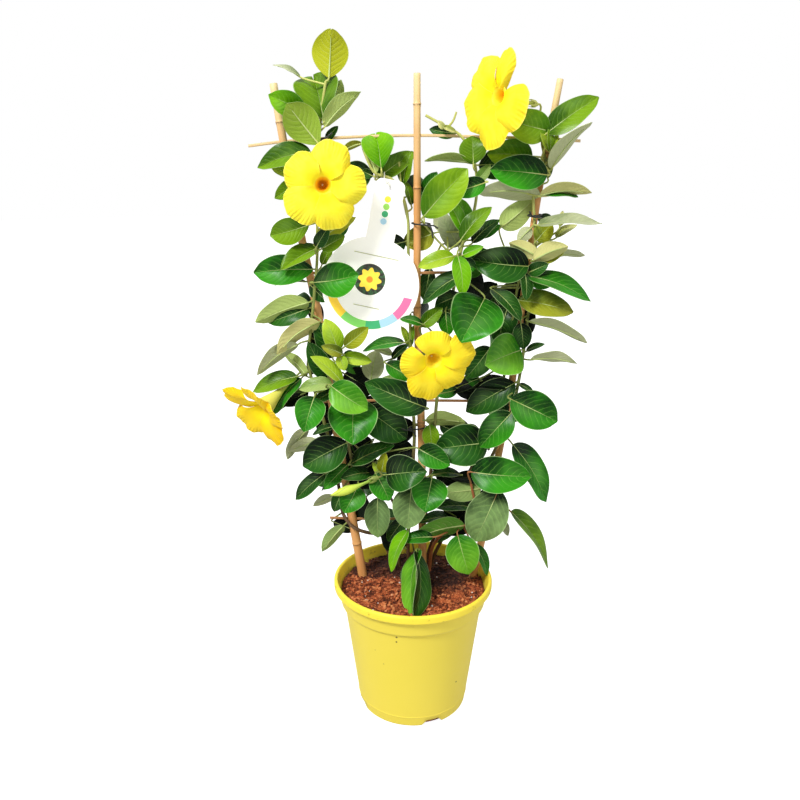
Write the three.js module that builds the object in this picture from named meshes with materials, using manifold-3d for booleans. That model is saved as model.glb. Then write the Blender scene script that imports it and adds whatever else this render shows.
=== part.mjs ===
// Potted dipladenia: a twining plant with yellow blooms on a bamboo fan trellis, in a yellow nursery pot.
// Millimetres, Z up, origin at the centre of the pot's underside, viewer on the -Y side.
import * as THREE from 'three';
import { mergeVertices } from 'three/addons/utils/BufferGeometryUtils.js';
import ManifoldModule from 'manifold-3d';

const wasm = await ManifoldModule();
wasm.setup();

// Driving dimensions
const POT_HEIGHT = 147.6;
const LIP_RADIUS = 85;
const BASE_RADIUS = 58.4;
const WALL_SLOPE = 0.1305;
const WALL = 1.5;
const FLOOR = 2.5;
const STEP_HEIGHT = 119;
const BAND_RADIUS = 77.6;
const LIP_DEPTH = 9;
const NOTCHES = 4;
const NOTCH_TURN = 20.4;
const SOIL_HEIGHT = 138;
const GAP = 0.35;
const CANE_FOOT = 70;
const CANE_POINT = 2.6;
const CROSSBAR_TALL = 2.8;
const CROSSBAR_THICK = 1.7;
const STEM_RADIUS = 1.7;
const TWIG_RADIUS = 1.2;
const TIE_RADIUS = 0.8;
const LABEL_RADIUS = 48;
const LABEL_THICK = 0.8;
const THREAD_RADIUS = 0.5;
const BLADE_THICK = 1.4;
const BLADE_ARCH = 0.07;
const BLADE_FOLD = 0.22;
const LEAF_PROPORTION = 1.45;
const PETIOLE_RADIUS = 1;
const PETAL_THICK = 1.3;
const PETAL_ROOT = 9;
const TUBE_LENGTH = 46;
const STALK_BEND = 9;
const ROOT_BOTTOM = 116;
const TIE_HALF_WIDTH = 6.6;
const TIE_PAST = 5.6;
const LABEL_HOLE_UP = 95;
const LABEL_HOLE_RADIUS = 2.5;
const LABEL_TURN = 12;
const LARGE_WIDTH = 33;
const SMALL_WIDTH = 21;
const STALK_SUNK = 0.8;
const CROSSING_COST = 40;

// The trellis stands in this upright plane. Places on the plant are given as they are seen from the
// viewer's eye against that plane: x and z on the plane, then how far in front of it along the sight line.
const TRELLIS_Y = 20;
const EYE = new THREE.Vector3(-14, -777, 573);

function seen(x, z, out) {
  const onPlane = new THREE.Vector3(x, TRELLIS_Y, z);
  return onPlane.lerp(EYE, out / (TRELLIS_Y - EYE.y));
}

const colours = {
  pot: [0xe8d84c, 0.45],
  soil: [0x6b3d26, 1.0],
  cane: [0xdfb06c, 0.6],
  crossbar: [0xc98f55, 0.7],
  tie: [0x1d1d1b, 0.5],
  label: [0xf4f2ea, 0.5],
  thread: [0xf2f0e8, 0.9],
  leaf: [0x3f7a22, 0.4],
  petal: [0xffe412, 0.6],
  bud: [0xdfe86a, 0.6],
};

const part = new THREE.Group();

function addPiece(name, solid, finish) {
  const [colour, roughness] = colours[finish];
  const material = new THREE.MeshStandardMaterial({ color: colour, roughness, metalness: 0 });
  const mesh = new THREE.Mesh(geometryOf(solid), material);
  mesh.name = name;
  part.add(mesh);
}

// Solids from three.js geometries and back
function solidOf(geometry) {
  const bare = geometry.clone();
  bare.deleteAttribute('normal');
  bare.deleteAttribute('uv');
  const welded = mergeVertices(bare, 1e-4);
  const places = welded.attributes.position.array;
  const index = welded.index.array;
  const corners = [];
  let sixVolumes = 0;
  const [a, b, c] = [new THREE.Vector3(), new THREE.Vector3(), new THREE.Vector3()];
  for (let i = 0; i < index.length; i += 3) {
    const [p, q, r] = [index[i], index[i + 1], index[i + 2]];
    if (p === q || q === r || r === p) continue;
    corners.push(p, q, r);
    a.fromArray(places, 3 * p);
    b.fromArray(places, 3 * q);
    c.fromArray(places, 3 * r);
    sixVolumes += a.dot(b.cross(c));
  }
  if (sixVolumes < 0) corners.reverse();
  return new wasm.Manifold(new wasm.Mesh({
    numProp: 3,
    vertProperties: new Float32Array(places),
    triVerts: Uint32Array.from(corners),
  }));
}

function geometryOf(solid) {
  const mesh = solid.getMesh();
  const geometry = new THREE.BufferGeometry();
  geometry.setAttribute('position', new THREE.BufferAttribute(new Float32Array(mesh.vertProperties), 3));
  geometry.setIndex(new THREE.BufferAttribute(new Uint32Array(mesh.triVerts), 1));
  return geometry;
}

function joined(solids) {
  let whole = solids[0];
  for (const solid of solids.slice(1)) whole = whole.add(solid);
  return largestBody(whole);
}

function largestBody(solid) {
  const bodies = solid.decompose();
  bodies.sort((one, two) => two.volume() - one.volume());
  return bodies[0];
}

// Shapes used by several pieces
function turned(profile, segments) {
  const geometry = new THREE.LatheGeometry(profile.map(([r, z]) => new THREE.Vector2(r, z)), segments);
  return geometry.rotateX(Math.PI / 2);
}

function tube(points, radius, sides, steps) {
  const section = new THREE.Shape();
  for (let k = 0; k < sides; k += 1) {
    const turn = (2 * Math.PI * k) / sides;
    const [x, y] = [radius * Math.cos(turn), radius * Math.sin(turn)];
    if (k === 0) section.moveTo(x, y);
    else section.lineTo(x, y);
  }
  section.closePath();
  const path = new THREE.CatmullRomCurve3(points, false, 'centripetal');
  return new THREE.ExtrudeGeometry(section, { steps, extrudePath: path, bevelEnabled: false });
}

function aimed(geometry, start, direction) {
  const upright = new THREE.Vector3(0, 0, 1);
  const turn = new THREE.Quaternion().setFromUnitVectors(upright, direction.clone().normalize());
  return geometry.applyQuaternion(turn).translate(start.x, start.y, start.z);
}

// Rings of equal count joined into a closed skin that comes to a point at both ends
function pointed(start, rings, tip) {
  const count = rings[0].length;
  const places = [...rings.flat(), start, tip];
  const last = (rings.length - 1) * count;
  const corners = [];
  for (let k = 0; k < count; k += 1) {
    const next = (k + 1) % count;
    corners.push(next, k, places.length - 2, last + k, last + next, places.length - 1);
    for (let row = 0; row < last; row += count) {
      corners.push(row + k, row + next, row + count + k, row + next, row + count + next, row + count + k);
    }
  }
  const geometry = new THREE.BufferGeometry().setFromPoints(places);
  geometry.setIndex(corners);
  return geometry;
}

// A grid of points thickened along one direction; where the thickness is nought the two faces share an edge
function sheet(points, direction, thickness) {
  const [rows, columns] = [points.length, points[0].length];
  const places = [];
  for (const sign of [0.5, -0.5]) {
    for (let i = 0; i < rows; i += 1) {
      for (let j = 0; j < columns; j += 1) {
        places.push(points[i][j].clone().addScaledVector(direction, sign * thickness(i, j)));
      }
    }
  }
  const at = (face, i, j) => face * rows * columns + i * columns + j;
  const corners = [];
  for (let i = 0; i < rows - 1; i += 1) {
    for (let j = 0; j < columns - 1; j += 1) {
      corners.push(at(0, i, j), at(0, i + 1, j), at(0, i, j + 1));
      corners.push(at(0, i, j + 1), at(0, i + 1, j), at(0, i + 1, j + 1));
      corners.push(at(1, i, j), at(1, i, j + 1), at(1, i + 1, j));
      corners.push(at(1, i, j + 1), at(1, i + 1, j + 1), at(1, i + 1, j));
    }
  }
  const rim = [];
  for (let j = 0; j < columns; j += 1) rim.push([0, j]);
  for (let i = 1; i < rows; i += 1) rim.push([i, columns - 1]);
  for (let j = columns - 2; j >= 0; j -= 1) rim.push([rows - 1, j]);
  for (let i = rows - 2; i > 0; i -= 1) rim.push([i, 0]);
  for (let k = 0; k < rim.length; k += 1) {
    const [i, j] = rim[k];
    const [m, n] = rim[(k + 1) % rim.length];
    corners.push(at(0, i, j), at(0, m, n), at(1, i, j));
    corners.push(at(0, m, n), at(1, m, n), at(1, i, j));
  }
  const geometry = new THREE.BufferGeometry().setFromPoints(places);
  geometry.setIndex(corners);
  return geometry;
}

// Pot: one moulding with a floor, sloping wall, stepped band, rolled lip and drain notches in the foot
const wallRadius = (z) => BASE_RADIUS + WALL_SLOPE * z;
const lipBottom = POT_HEIGHT - LIP_DEPTH;
const potProfile = [
  [0, 0], [BASE_RADIUS - 1.5, 0], [BASE_RADIUS, 1.5], [wallRadius(STEP_HEIGHT), STEP_HEIGHT],
  [BAND_RADIUS, STEP_HEIGHT + 2.5], [BAND_RADIUS + 2, lipBottom - 1.5], [LIP_RADIUS - 1, lipBottom],
  [LIP_RADIUS, lipBottom + 1.2], [LIP_RADIUS, POT_HEIGHT - 1.5], [LIP_RADIUS - 1.2, POT_HEIGHT],
  [LIP_RADIUS - 3.2, POT_HEIGHT], [LIP_RADIUS - 4.2, POT_HEIGHT - 1.2],
  [BAND_RADIUS + 2 - WALL, lipBottom - 2], [BAND_RADIUS - WALL, STEP_HEIGHT + 2],
  [wallRadius(STEP_HEIGHT) - WALL, STEP_HEIGHT - 1.5], [wallRadius(FLOOR) - WALL, FLOOR], [0, FLOOR],
];
let pot = solidOf(turned(potProfile, 30));
for (let k = 0; k < NOTCHES; k += 1) {
  const notch = new THREE.BoxGeometry(12, 19, 11);
  notch.translate(BASE_RADIUS, 0, 0);
  notch.rotateZ(THREE.MathUtils.degToRad(-90 + NOTCH_TURN + (360 / NOTCHES) * k));
  pot = pot.subtract(solidOf(notch));
}
addPiece('pot', largestBody(pot), 'pot');

// Canes: tapering bamboo with raised nodes, each following its own slight bow, listed as [x, z]
const canes = {
  cane_left: {
    bow: [
      [-46, 60], [-55.5, 137], [-67, 214], [-81, 310], [-97.3, 434], [-110, 502], [-124.5, 594], [-132, 647],
    ],
    nodes: [176, 292, 405, 520, 612], top: 646, footRadius: 4.7, topRadius: 3.3,
  },
  cane_centre: {
    bow: [[12, 60], [11, 137], [9.6, 250], [7.4, 340], [3.4, 424], [2.8, 515], [1.8, 656]],
    nodes: [190, 316, 437, 552, 628], top: 655, footRadius: 4.4, topRadius: 3.3,
  },
  cane_right: {
    bow: [
      [54, 60], [67, 137], [75.5, 180], [91.6, 287], [99, 335], [108, 430], [118.6, 538], [127.5, 600],
      [135, 650],
    ],
    nodes: [158, 262, 372, 478, 585], top: 650, footRadius: 4.2, topRadius: 3.1,
  },
};

function bowAt(bow, z) {
  let k = 0;
  while (k < bow.length - 2 && bow[k + 1][1] < z) k += 1;
  const share = (z - bow[k][1]) / (bow[k + 1][1] - bow[k][1]);
  return THREE.MathUtils.lerp(bow[k][0], bow[k + 1][0], share);
}

function caneSolid({ bow, nodes, top, footRadius, topRadius }, extra) {
  const taper = (z) => THREE.MathUtils.mapLinear(z, SOIL_HEIGHT, top, footRadius, topRadius);
  const point = (z) => THREE.MathUtils.mapLinear(z, CANE_FOOT, SOIL_HEIGHT, CANE_POINT, footRadius);
  const radiusAt = (z) => Math.min(taper(z), point(z)) + extra;
  const rows = [];
  const levels = bow.map(([, z]) => z).filter((z) => z > CANE_FOOT && z < top);
  for (const z of levels) rows.push([radiusAt(z), z]);
  for (const z of nodes) rows.push([radiusAt(z), z - 3], [radiusAt(z) + 0.6, z]);
  rows.sort((one, two) => one[1] - two[1]);
  const profile = [[0, CANE_FOOT - extra], [radiusAt(CANE_FOOT), CANE_FOOT - extra], ...rows,
    [radiusAt(top), top + extra], [0, top + extra]];
  const geometry = turned(profile, 8);
  const places = geometry.attributes.position;
  for (let i = 0; i < places.count; i += 1) {
    places.setX(i, places.getX(i) + bowAt(bow, places.getZ(i)));
    places.setY(i, places.getY(i) + TRELLIS_Y);
  }
  return solidOf(geometry);
}

// Crossbars: thin split bamboo through drilled holes in the canes, listed as [x, z]
const crossbars = {
  crossbar_top: [[-158, 590.5], [-124, 594.5], [-60, 598.5], [3, 600], [70, 598.5], [127, 597], [157, 595]],
  crossbar_upper: [[-122, 471], [-60, 469.5], [4, 470.5], [60, 471], [126, 470]],
  crossbar_middle: [[-96, 337], [-40, 338.5], [7.5, 338.5], [60, 338], [110, 336]],
  crossbar_lower: [[-90, 206], [-40, 204.5], [10, 205], [92, 203]],
};

function crossbarSolid(route, extra) {
  const points = route.map(([x, z]) => new THREE.Vector3(x, TRELLIS_Y, z));
  if (extra > 0) {
    points[0].x -= extra;
    points[points.length - 1].x += extra;
  }
  const [tall, thick] = [CROSSBAR_TALL / 2 + extra, CROSSBAR_THICK / 2 + extra];
  const section = new THREE.Shape();
  section.moveTo(-thick, -tall).lineTo(thick, -tall).lineTo(thick, tall).lineTo(-thick, tall).closePath();
  const path = new THREE.CatmullRomCurve3(points, false, 'centripetal');
  return solidOf(new THREE.ExtrudeGeometry(section, { steps: 6, extrudePath: path, bevelEnabled: false }));
}

// What a leaf of another stem may not cross
const obstacles = [];

function addObstacle(solid, owner) {
  obstacles.push({ solid, owner, ...solid.boundingBox() });
}

const drills = Object.values(crossbars).map((route) => crossbarSolid(route, GAP));
for (const [name, cane] of Object.entries(canes)) {
  let solid = caneSolid(cane, 0);
  for (const drill of drills) solid = solid.subtract(drill);
  solid = largestBody(solid);
  addPiece(name, solid, 'cane');
  addObstacle(solid, name);
}
for (const [name, route] of Object.entries(crossbars)) {
  const solid = crossbarSolid(route, 0);
  addPiece(name, solid, 'crossbar');
  addObstacle(solid, name);
}
addObstacle(pot, 'pot');

// Leafy stems. Each has a root in the soil [X, Y], a main stem and twigs listed as [x, z, out], and leaves
// listed as [base x, base z, tip x, tip z, width seen, out, lean, side]: lean is how far a foreshortened
// blade tips towards the viewer (+1) or away (-1), or, past 1, by how many millimetres; side is +1 with its
// upper face seen and -1 with its underside.
const leafyStems = {
  leafy_stem_left: {
    root: [-15, 40],
    main: [
      [-18, 172, -16], [-32, 186, -4], [-48, 188, 5], [-60, 192, 9], [-69, 199, 7], [-76, 212, 2],
      [-80, 245, -1], [-86, 282, -3], [-94, 318, 2], [-102, 348, 5], [-107, 374, 5], [-106, 400, 7],
      [-102, 430, 10], [-99, 455, 10], [-96, 482, 7], [-95, 510, 5], [-94, 545, 4], [-93, 575, 5],
      [-90, 602, 6], [-87, 626, 6], [-83, 648, 7],
    ],
    twigs: [[[-80, 245, -1], [-86, 268, 8], [-92, 290, 14]]],
    leaves: [
      [-81, 652, -79, 691, 31, 7, 0, -1], [-87, 617, -96, 651, 36, 12, -0.6, 1],
      [-84, 607, -50, 637, 12, 12, 1, -1], [-93, 590, -127, 621, 34, 20, 0.4, -1],
      [-104, 606, -135, 637, 22, 6, -1, 1], [-97, 598, -122, 605, 18, 0, 0, 1],
      [-84, 622, -71, 648, 15, -2, -0.5, -1], [-97, 585, -146, 571, 20, 14, 0.5, 1],
      [-110, 556, -130, 545, 14, 2, 0, 1], [-101, 516, -136, 507, 22, 9, 0.6, 1],
      [-94, 500, -61, 526, 11, 16, 0.5, -1], [-92, 497, -67, 507, 17, 9, 0, 1],
      [-96, 496, -84, 515, 13, 11, 0, 1], [-101, 469, -157, 466, 25, 8, 0, 1],
      [-96, 494, -126, 470, 19, 18, 0.4, 1], [-97, 465, -58, 468, 31, 20, 0.5, 1],
      [-103, 458, -88, 442, 15, 6, 0, 1], [-105, 444, -152, 421, 25, 12, 0, -1],
      [-98, 420, -138, 393, 17, 16, 0, -1], [-112, 396, -161, 368, 13, 10, 0, -1],
      [-109, 366, -132, 389, 13, 4, 0, -1], [-120, 362, -163, 346, 17, 4, 0, 1],
      [-117, 360, -146, 328, 17, 14, 0, 1], [-112, 346, -145, 328, 8, 4, 0, -1],
      [-100, 292, -128, 284, 12, 6, 0, -1], [-110, 308, -145, 273, 9, 4, 0, -1],
      [-92, 258, -121, 229, 15, 10, 0, 1], [-85, 231, -107, 220, 10, 2, 0, -1],
      [-76, 197, -99, 171, 13, 8, 0, -1],
    ],
    behind: 5,
  },
  leafy_stem_left_inner: {
    root: [-21, 30],
    main: [
      [-28, 168, -13], [-42, 207, -10], [-54, 236, -4], [-62, 258, 2], [-68, 288, 4], [-72, 318, 4],
      [-77, 348, 5], [-77, 375, 8], [-74, 392, 10],
    ],
    twigs: [[[-72, 318, 4], [-66, 332, 14], [-62, 340, 20]], [[-77, 348, 5], [-86, 354, 9], [-92, 350, 12]]],
    leaves: [
      [-74, 392, -92, 420, 17, 22, 0, 1], [-69, 396, -49, 415, 15, 24, 0, 1],
      [-72, 385, -44, 380, 14, 26, 0, 1], [-73, 388, -93, 396, 12, 24, 0, 1],
      [-76, 359, -103, 383, 11, 28, 0, 1], [-85, 358, -118, 352, 18, 18, 0, 1],
      [-88, 364, -106, 399, 24, 8, 0, 1], [-82, 384, -98, 419, 21, 6, 0, 1],
      [-80, 350, -103, 338, 12, 10, 0, 1], [-85, 352, -54, 325, 29, 36, 0.6, 1],
      [-65, 341, -63, 294, 50, 24, 0.7, 1], [-98, 345, -110, 307, 29, 20, 0.5, 1],
      [-45, 311, -9, 296, 26, 10, 0, 1], [-70, 292, -109, 261, 34, 24, 0.6, 1],
      [-70, 267, -95, 240, 16, 10, 0, 1], [-60, 242, -74, 213, 28, 26, 0.7, 1],
      [-76, 238, -85, 214, 15, 8, 0, 1], [-45, 258, -76, 252, 16, 4, 0, 1],
    ],
    behind: 4,
  },
  leafy_stem_centre: {
    root: [-5, 42],
    main: [
      [-5, 190, -15], [-2, 230, -10], [0, 268, -3], [1, 308, 3], [-2, 350, 5], [-3, 395, 5],
      [-4, 430, 4.5], [-5, 470, 4.5], [-6, 500, 4], [-6, 520, 3], [-11, 543, 3], [-22, 560, 6.5],
      [-38, 566, 8], [-46, 580, 5], [-50, 592, 3],
    ],
    twigs: [[[-6, 520, 3], [-12, 548, 0], [-15, 576, -2]], [[-3, 395, 5], [-14, 388, 9], [-22, 383, 12]],
      [[-2, 350, 5], [-22, 352, 7], [-40, 352, 8]]],
    leaves: [
      [-33, 571, -38, 600, 26, 14, -0.5, 1], [-37, 566, -49, 593, 11, 16, 0, -1],
      [-36, 563, -2, 584, 14, 10, 0, 1], [-12, 402, -50, 395, 12, 20, 0, 1],
      [-28, 378, -1, 362, 18, 22, 0, 1], [-38, 350, -11, 363, 18, 12, 0, 1],
      [-43, 362, -39, 390, 17, 4, 0, -1], [7, 331, -47, 357, 30, 26, 0.3, 1],
    ],
    behind: 5,
  },
  leafy_stem_middle: {
    root: [7, 43],
    main: [
      [11, 190, -15], [17, 240, -9], [21, 290, 3], [24, 336, 7], [29, 385, 4], [36, 430, 4],
      [42, 470, 5.5], [48, 500, 6], [56, 522, 6], [60, 547, 6], [58, 572, 6], [52, 588, 6],
      [42, 601, 6], [31, 607, 6], [10, 618, 6],
    ],
    twigs: [[[44, 481, 6], [36, 489, 7], [22, 503, 8], [10, 517, 8]],
      [[31, 607, 6], [36, 613, 8], [39, 621, 9]]],
    leaves: [
      [74, 438, 55, 403, 43, 26, 0.5, 1], [38, 428, 34, 408, 14, 12, 0, 1],
      [45, 448, 22, 438, 19, 6, 0, 1], [50, 470, 10, 441, 17, 16, 0, 1],
      [43, 487, 49, 449, 18, 24, 0, 1], [39, 487, 5, 477, 16, 14, 0, 1],
      [47, 511, 30, 542, 13, 20, 0, 1], [50, 511, 44, 540, 16, 10, 0, 1],
      [46, 503, 73, 534, 17, 26, 0, 1], [57, 500, 81, 522, 13, 10, 0, 1],
      [66, 505, 84, 517, 10, 4, 0, 1], [48, 488, 67, 496, 10, 20, 0, 1],
      [12, 526, 48, 566, 27, 18, 0, 1], [10, 547, 22, 566, 12, -4, 0, 1],
      [66, 557, 36, 550, 16, 20, 0, 1], [53, 575, 11, 578, 8, 10, 0, -1],
      [57, 576, 56, 598, 25, 14, -0.5, 1], [20, 515, 32, 530, 15, -6, 0, -1],
      [30, 499, 52, 504, 13, -6, 0, -1], [17, 510, -11, 499, 20, -9, 0, 1],
      [9, 417, 27, 432, 12, 14, 0, 1], [45, 350, 24, 345, 13, 8, 0, 1],
      [14, 318, 52, 314, 12, 8, 0, -1], [17, 309, 21, 288, 12, 8, 0, 1],
    ],
    behind: 5,
  },
  leafy_stem_right: {
    root: [22, 38],
    main: [
      [31, 178, -12], [50, 215, -7], [68, 248, -2], [81, 272, 5], [92, 298, 9], [102, 325, 9],
      [107, 350, 5], [112, 390, 3], [115, 430, 3], [119, 470, 5], [119, 500, 8], [117, 522, 9],
      [115, 545, 9], [119, 570, 9], [124, 590, 9], [126, 604, 9],
    ],
    twigs: [[[124, 590, 9], [121, 597, 11], [119, 602, 12]], [[119, 570, 9], [128, 577, 8], [130, 592, 7]]],
    leaves: [
      [125, 603, 87, 618, 27, 12, 0, 1], [130, 600, 173, 632, 24, 14, 0, 1],
      [131, 575, 163, 611, 9, 6, 0, -1], [124, 556, 74, 562, 33, 16, -0.3, 1],
      [117, 549, 66, 551, 16, 24, 0, -1], [112, 579, 73, 579, 21, 2, 0, 1],
      [121, 548, 167, 554, 11, 12, 0, -1], [122, 546, 157, 545, 9, 4, 0, 1],
      [114, 514, 102, 501, 13, 12, 0, -1], [118, 524, 181, 522, 8, 10, 0, 1],
      [119, 504, 131, 521, 15, 16, 0, 1], [122, 508, 155, 517, 6, 12, 0, 1],
      [120, 490, 97, 501, 15, 18, 0, -1], [122, 489, 148, 497, 14, 18, 0, -1],
      [122, 484, 142, 491, 12, 12, 0, 1], [114, 471, 132, 479, 14, 14, 0, 1],
      [114, 468, 175, 449, 17, 16, 0.3, 1], [115, 464, 136, 458, 13, 6, 0, 1],
      [110, 470, 112, 444, 12, 16, 0, 1], [104, 443, 153, 430, 26, 10, 0, 1],
      [117, 420, 171, 400, 8, 10, 0.3, -1], [108, 420, 112, 394, 19, 8, 0, 1],
      [117, 378, 167, 377, 8, 12, 0, -1], [102, 338, 149, 313, 36, 20, 0.3, 1],
      [102, 325, 71, 288, 31, 30, 0.5, 1], [102, 352, 60, 322, 38, 22, 0.4, 1],
      [104, 395, 74, 376, 37, 26, 0.5, 1], [101, 286, 140, 227, 25, 14, 0, 1],
    ],
    behind: 5,
  },
  leafy_stem_right_inner: {
    root: [15, 33],
    main: [
      [24, 186, -8], [42, 225, -4], [58, 256, -1], [74, 290, -4], [86, 330, -4], [94, 370, -3],
      [98, 405, 2], [101, 440, 4], [104, 462, 5],
    ],
    twigs: [[[94, 370, -3], [84, 385, -6], [78, 396, -6]], [[74, 290, -3], [78, 286, 4], [80, 284, 8]]],
    leaves: [
      [108, 467, 62, 472, 33, 20, 0.3, 1], [95, 440, 85, 400, 28, -6, 0, 1],
      [78, 454, 107, 424, 15, 16, 0, 1], [78, 395, 55, 364, 25, 6, 0, 1],
      [68, 362, 40, 350, 14, 8, 0, 1], [80, 452, 104, 425, 16, -10, 0, 1],
      [83, 512, 114, 536, 23, 4, 0, -1], [77, 287, 24, 287, 42, 12, 0, 1],
      [96, 425, 78, 446, 18, -12, 0, 1], [86, 330, 62, 345, 18, -10, 0, 1],
    ],
    behind: 4,
  },
  leafy_stem_low_centre: {
    root: [-4, 31],
    main: [[-6, 172, -6], [-10, 195, 2], [-22, 225, 6], [-33, 250, 8], [-35, 262, 9]],
    twigs: [[[-10, 195, 2], [2, 212, 8], [14, 238, 10], [20, 256, 10]],
      [[-35, 262, 9], [-48, 276, 6], [-62, 290, 8]]],
    leaves: [
      [-40, 257, -26, 227, 26, 26, 0.5, 1], [-28, 256, 11, 260, 38, 28, 0.5, 1],
      [-38, 228, -41, 185, 24, 18, 0, 1], [-2, 238, -6, 193, 36, 24, 0.4, 1],
      [-8, 206, -27, 178, 17, 4, 0, 1], [20, 252, 14, 214, 36, 28, 0.6, 1],
      [6, 285, 38, 267, 25, 18, 0, 1], [-66, 268, -22, 289, 18, 14, 0, 1],
      [-34, 256, -28, 281, 9, 20, 0, 1], [50, 256, 19, 256, 10, 6, 0, 1],
      [45, 206, 7, 203, 12, 2, 0, 1],
    ],
    behind: 4,
  },
  leafy_stem_low_right: {
    root: [19, 27],
    main: [[23, 174, 0], [35, 188, 6], [50, 193, 8], [60, 200, 10], [66, 222, 10], [62, 246, 10]],
    twigs: [[[66, 222, 10], [80, 232, 12], [90, 238, 12]], [[60, 200, 10], [84, 208, 11], [104, 215, 8]]],
    leaves: [
      [50, 184, 62, 143, 37, 22, 0.5, 1], [66, 174, 84, 138, 12, 10, 0, 1],
      [90, 240, 67, 180, 42, 26, 0, 1], [61, 257, 121, 253, 39, 26, 0, 1],
      [107, 214, 152, 152, 14, 12, 0, 1], [73, 240, 34, 235, 23, 8, 0, -1],
      [65, 218, 25, 219, 14, 4, 0, 1], [39, 198, 2, 183, 16, 20, 0, -1],
      [22, 183, -12, 180, 14, 14, 0, 1],
    ],
    behind: 2,
  },
  leafy_stem_hanging: {
    root: [0, 22],
    main: [[1, 150, 1], [3, 160, 9], [5, 167, 17], [7, 168, 26]],
    twigs: [[[3, 160, 9], [-1, 178, 12], [-4, 190, 16]]],
    leaves: [
      [7, 164, -6, 92, 24, 30, 52, 1], [10, 162, 14, 84, 21, 36, 58, 1],
      [3, 160, -9, 113, 12, 26, 36, 1], [-5, 191, -25, 143, 14, 18, 12, 1],
    ],
    behind: 0,
  },
};
// Blooms, given by throat [x, z, out], the way they face, the petals' reach, the first petal's turn and
// how far the petals lean forward from flat
const blooms = {
  bloom_left: {
    throat: [-88, 554.5, 54], facing: [0.14, -0.99, 0], reach: 41, turn: 74, cup: 0,
    stem: 'leafy_stem_left', stalk: [[-94.5, 540, 4], [-92, 552, -1]],
  },
  bloom_top: {
    throat: [76.6, 634, 40], facing: [-0.82, -0.56, 0.1], reach: 45, turn: 126, cup: 0.1,
    stem: 'leafy_stem_right', stalk: [[119, 602, 12], [117, 615, 8]],
  },
  bloom_side: {
    throat: [-162, 326, 32], facing: [-0.55, -0.7, -0.45], reach: 42, turn: 180, cup: 0.6,
    stem: 'leafy_stem_left', stalk: [[-106, 376, 5], [-112, 373, -2]],
  },
  bloom_centre: {
    throat: [24.8, 373.5, 50], facing: [0.16, -0.96, -0.2], reach: 40, turn: 92, cup: 0.1,
    stem: 'leafy_stem_middle', stalk: [[31, 400, 4], [22, 408, 3]],
  },
};

function caneAt(name, z) {
  return new THREE.Vector3(bowAt(canes[name].bow, z), TRELLIS_Y, z);
}

// Each bloom sits in a calyx on its own stalk, which leaves its stem at a place [x, z, out]
function bloomFrame({ throat, facing }) {
  const axis = new THREE.Vector3(...facing).normalize();
  const mouth = seen(...throat);
  return { axis, mouth, seat: mouth.clone().addScaledVector(axis, -TUBE_LENGTH) };
}

const bud = {
  root: [-42, 251, 36],
  tip: [-89, 232, 42],
  stem: 'leafy_stem_low_centre',
  stalk: [[-35, 262, 9], [-35, 258, 26]],
};
const budRoot = seen(...bud.root);
const budAxis = seen(...bud.tip).sub(budRoot);
const budLength = budAxis.length();
budAxis.normalize();

function stalkPoints(places, seat, axis) {
  return [...places.map((place) => seen(...place)),
    seat.clone().addScaledVector(axis, -STALK_BEND), seat.clone().addScaledVector(axis, -2)];
}

function calyxSolid(seat, axis) {
  const profile = [[0, -5], [1.5, -5], [2.6, -2.4], [3, 2.6], [2.3, 2.6], [2, -GAP], [0, -GAP]];
  return solidOf(aimed(turned(profile, 8), seat, axis));
}

// Stems: a foot in the soil, the main stem, its twigs, and the stalks and calyxes of its blooms
for (const [name, stem] of Object.entries(leafyStems)) {
  const [x, y] = stem.root;
  const foot = [ROOT_BOTTOM, ROOT_BOTTOM + 12, SOIL_HEIGHT + 5].map((z) => new THREE.Vector3(x, y, z));
  const main = [...foot, ...stem.main.map((place) => seen(...place))];
  const thin = stem.twigs.map((twig) => twig.map((place) => seen(...place)));
  stem.solids = [];
  for (const bloom of Object.values(blooms).filter((one) => one.stem === name)) {
    const { axis, seat } = bloomFrame(bloom);
    thin.push(stalkPoints(bloom.stalk, seat, axis));
    stem.solids.push(calyxSolid(seat, axis));
  }
  if (bud.stem === name) {
    thin.push(stalkPoints(bud.stalk, budRoot, budAxis));
    stem.solids.push(calyxSolid(budRoot, budAxis));
  }
  stem.solids.push(solidOf(tube(main, STEM_RADIUS, 5, Math.round(1.2 * main.length))));
  for (const points of thin) stem.solids.push(solidOf(tube(points, TWIG_RADIUS, 4, points.length)));
  const lines = [main, ...thin].map((points) => new THREE.CatmullRomCurve3(points, false, 'centripetal'));
  stem.samples = lines.flatMap((line) => line.getSpacedPoints(Math.round(line.getLength() / 3)));
  for (const solid of stem.solids) addObstacle(solid, name);
}

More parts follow.
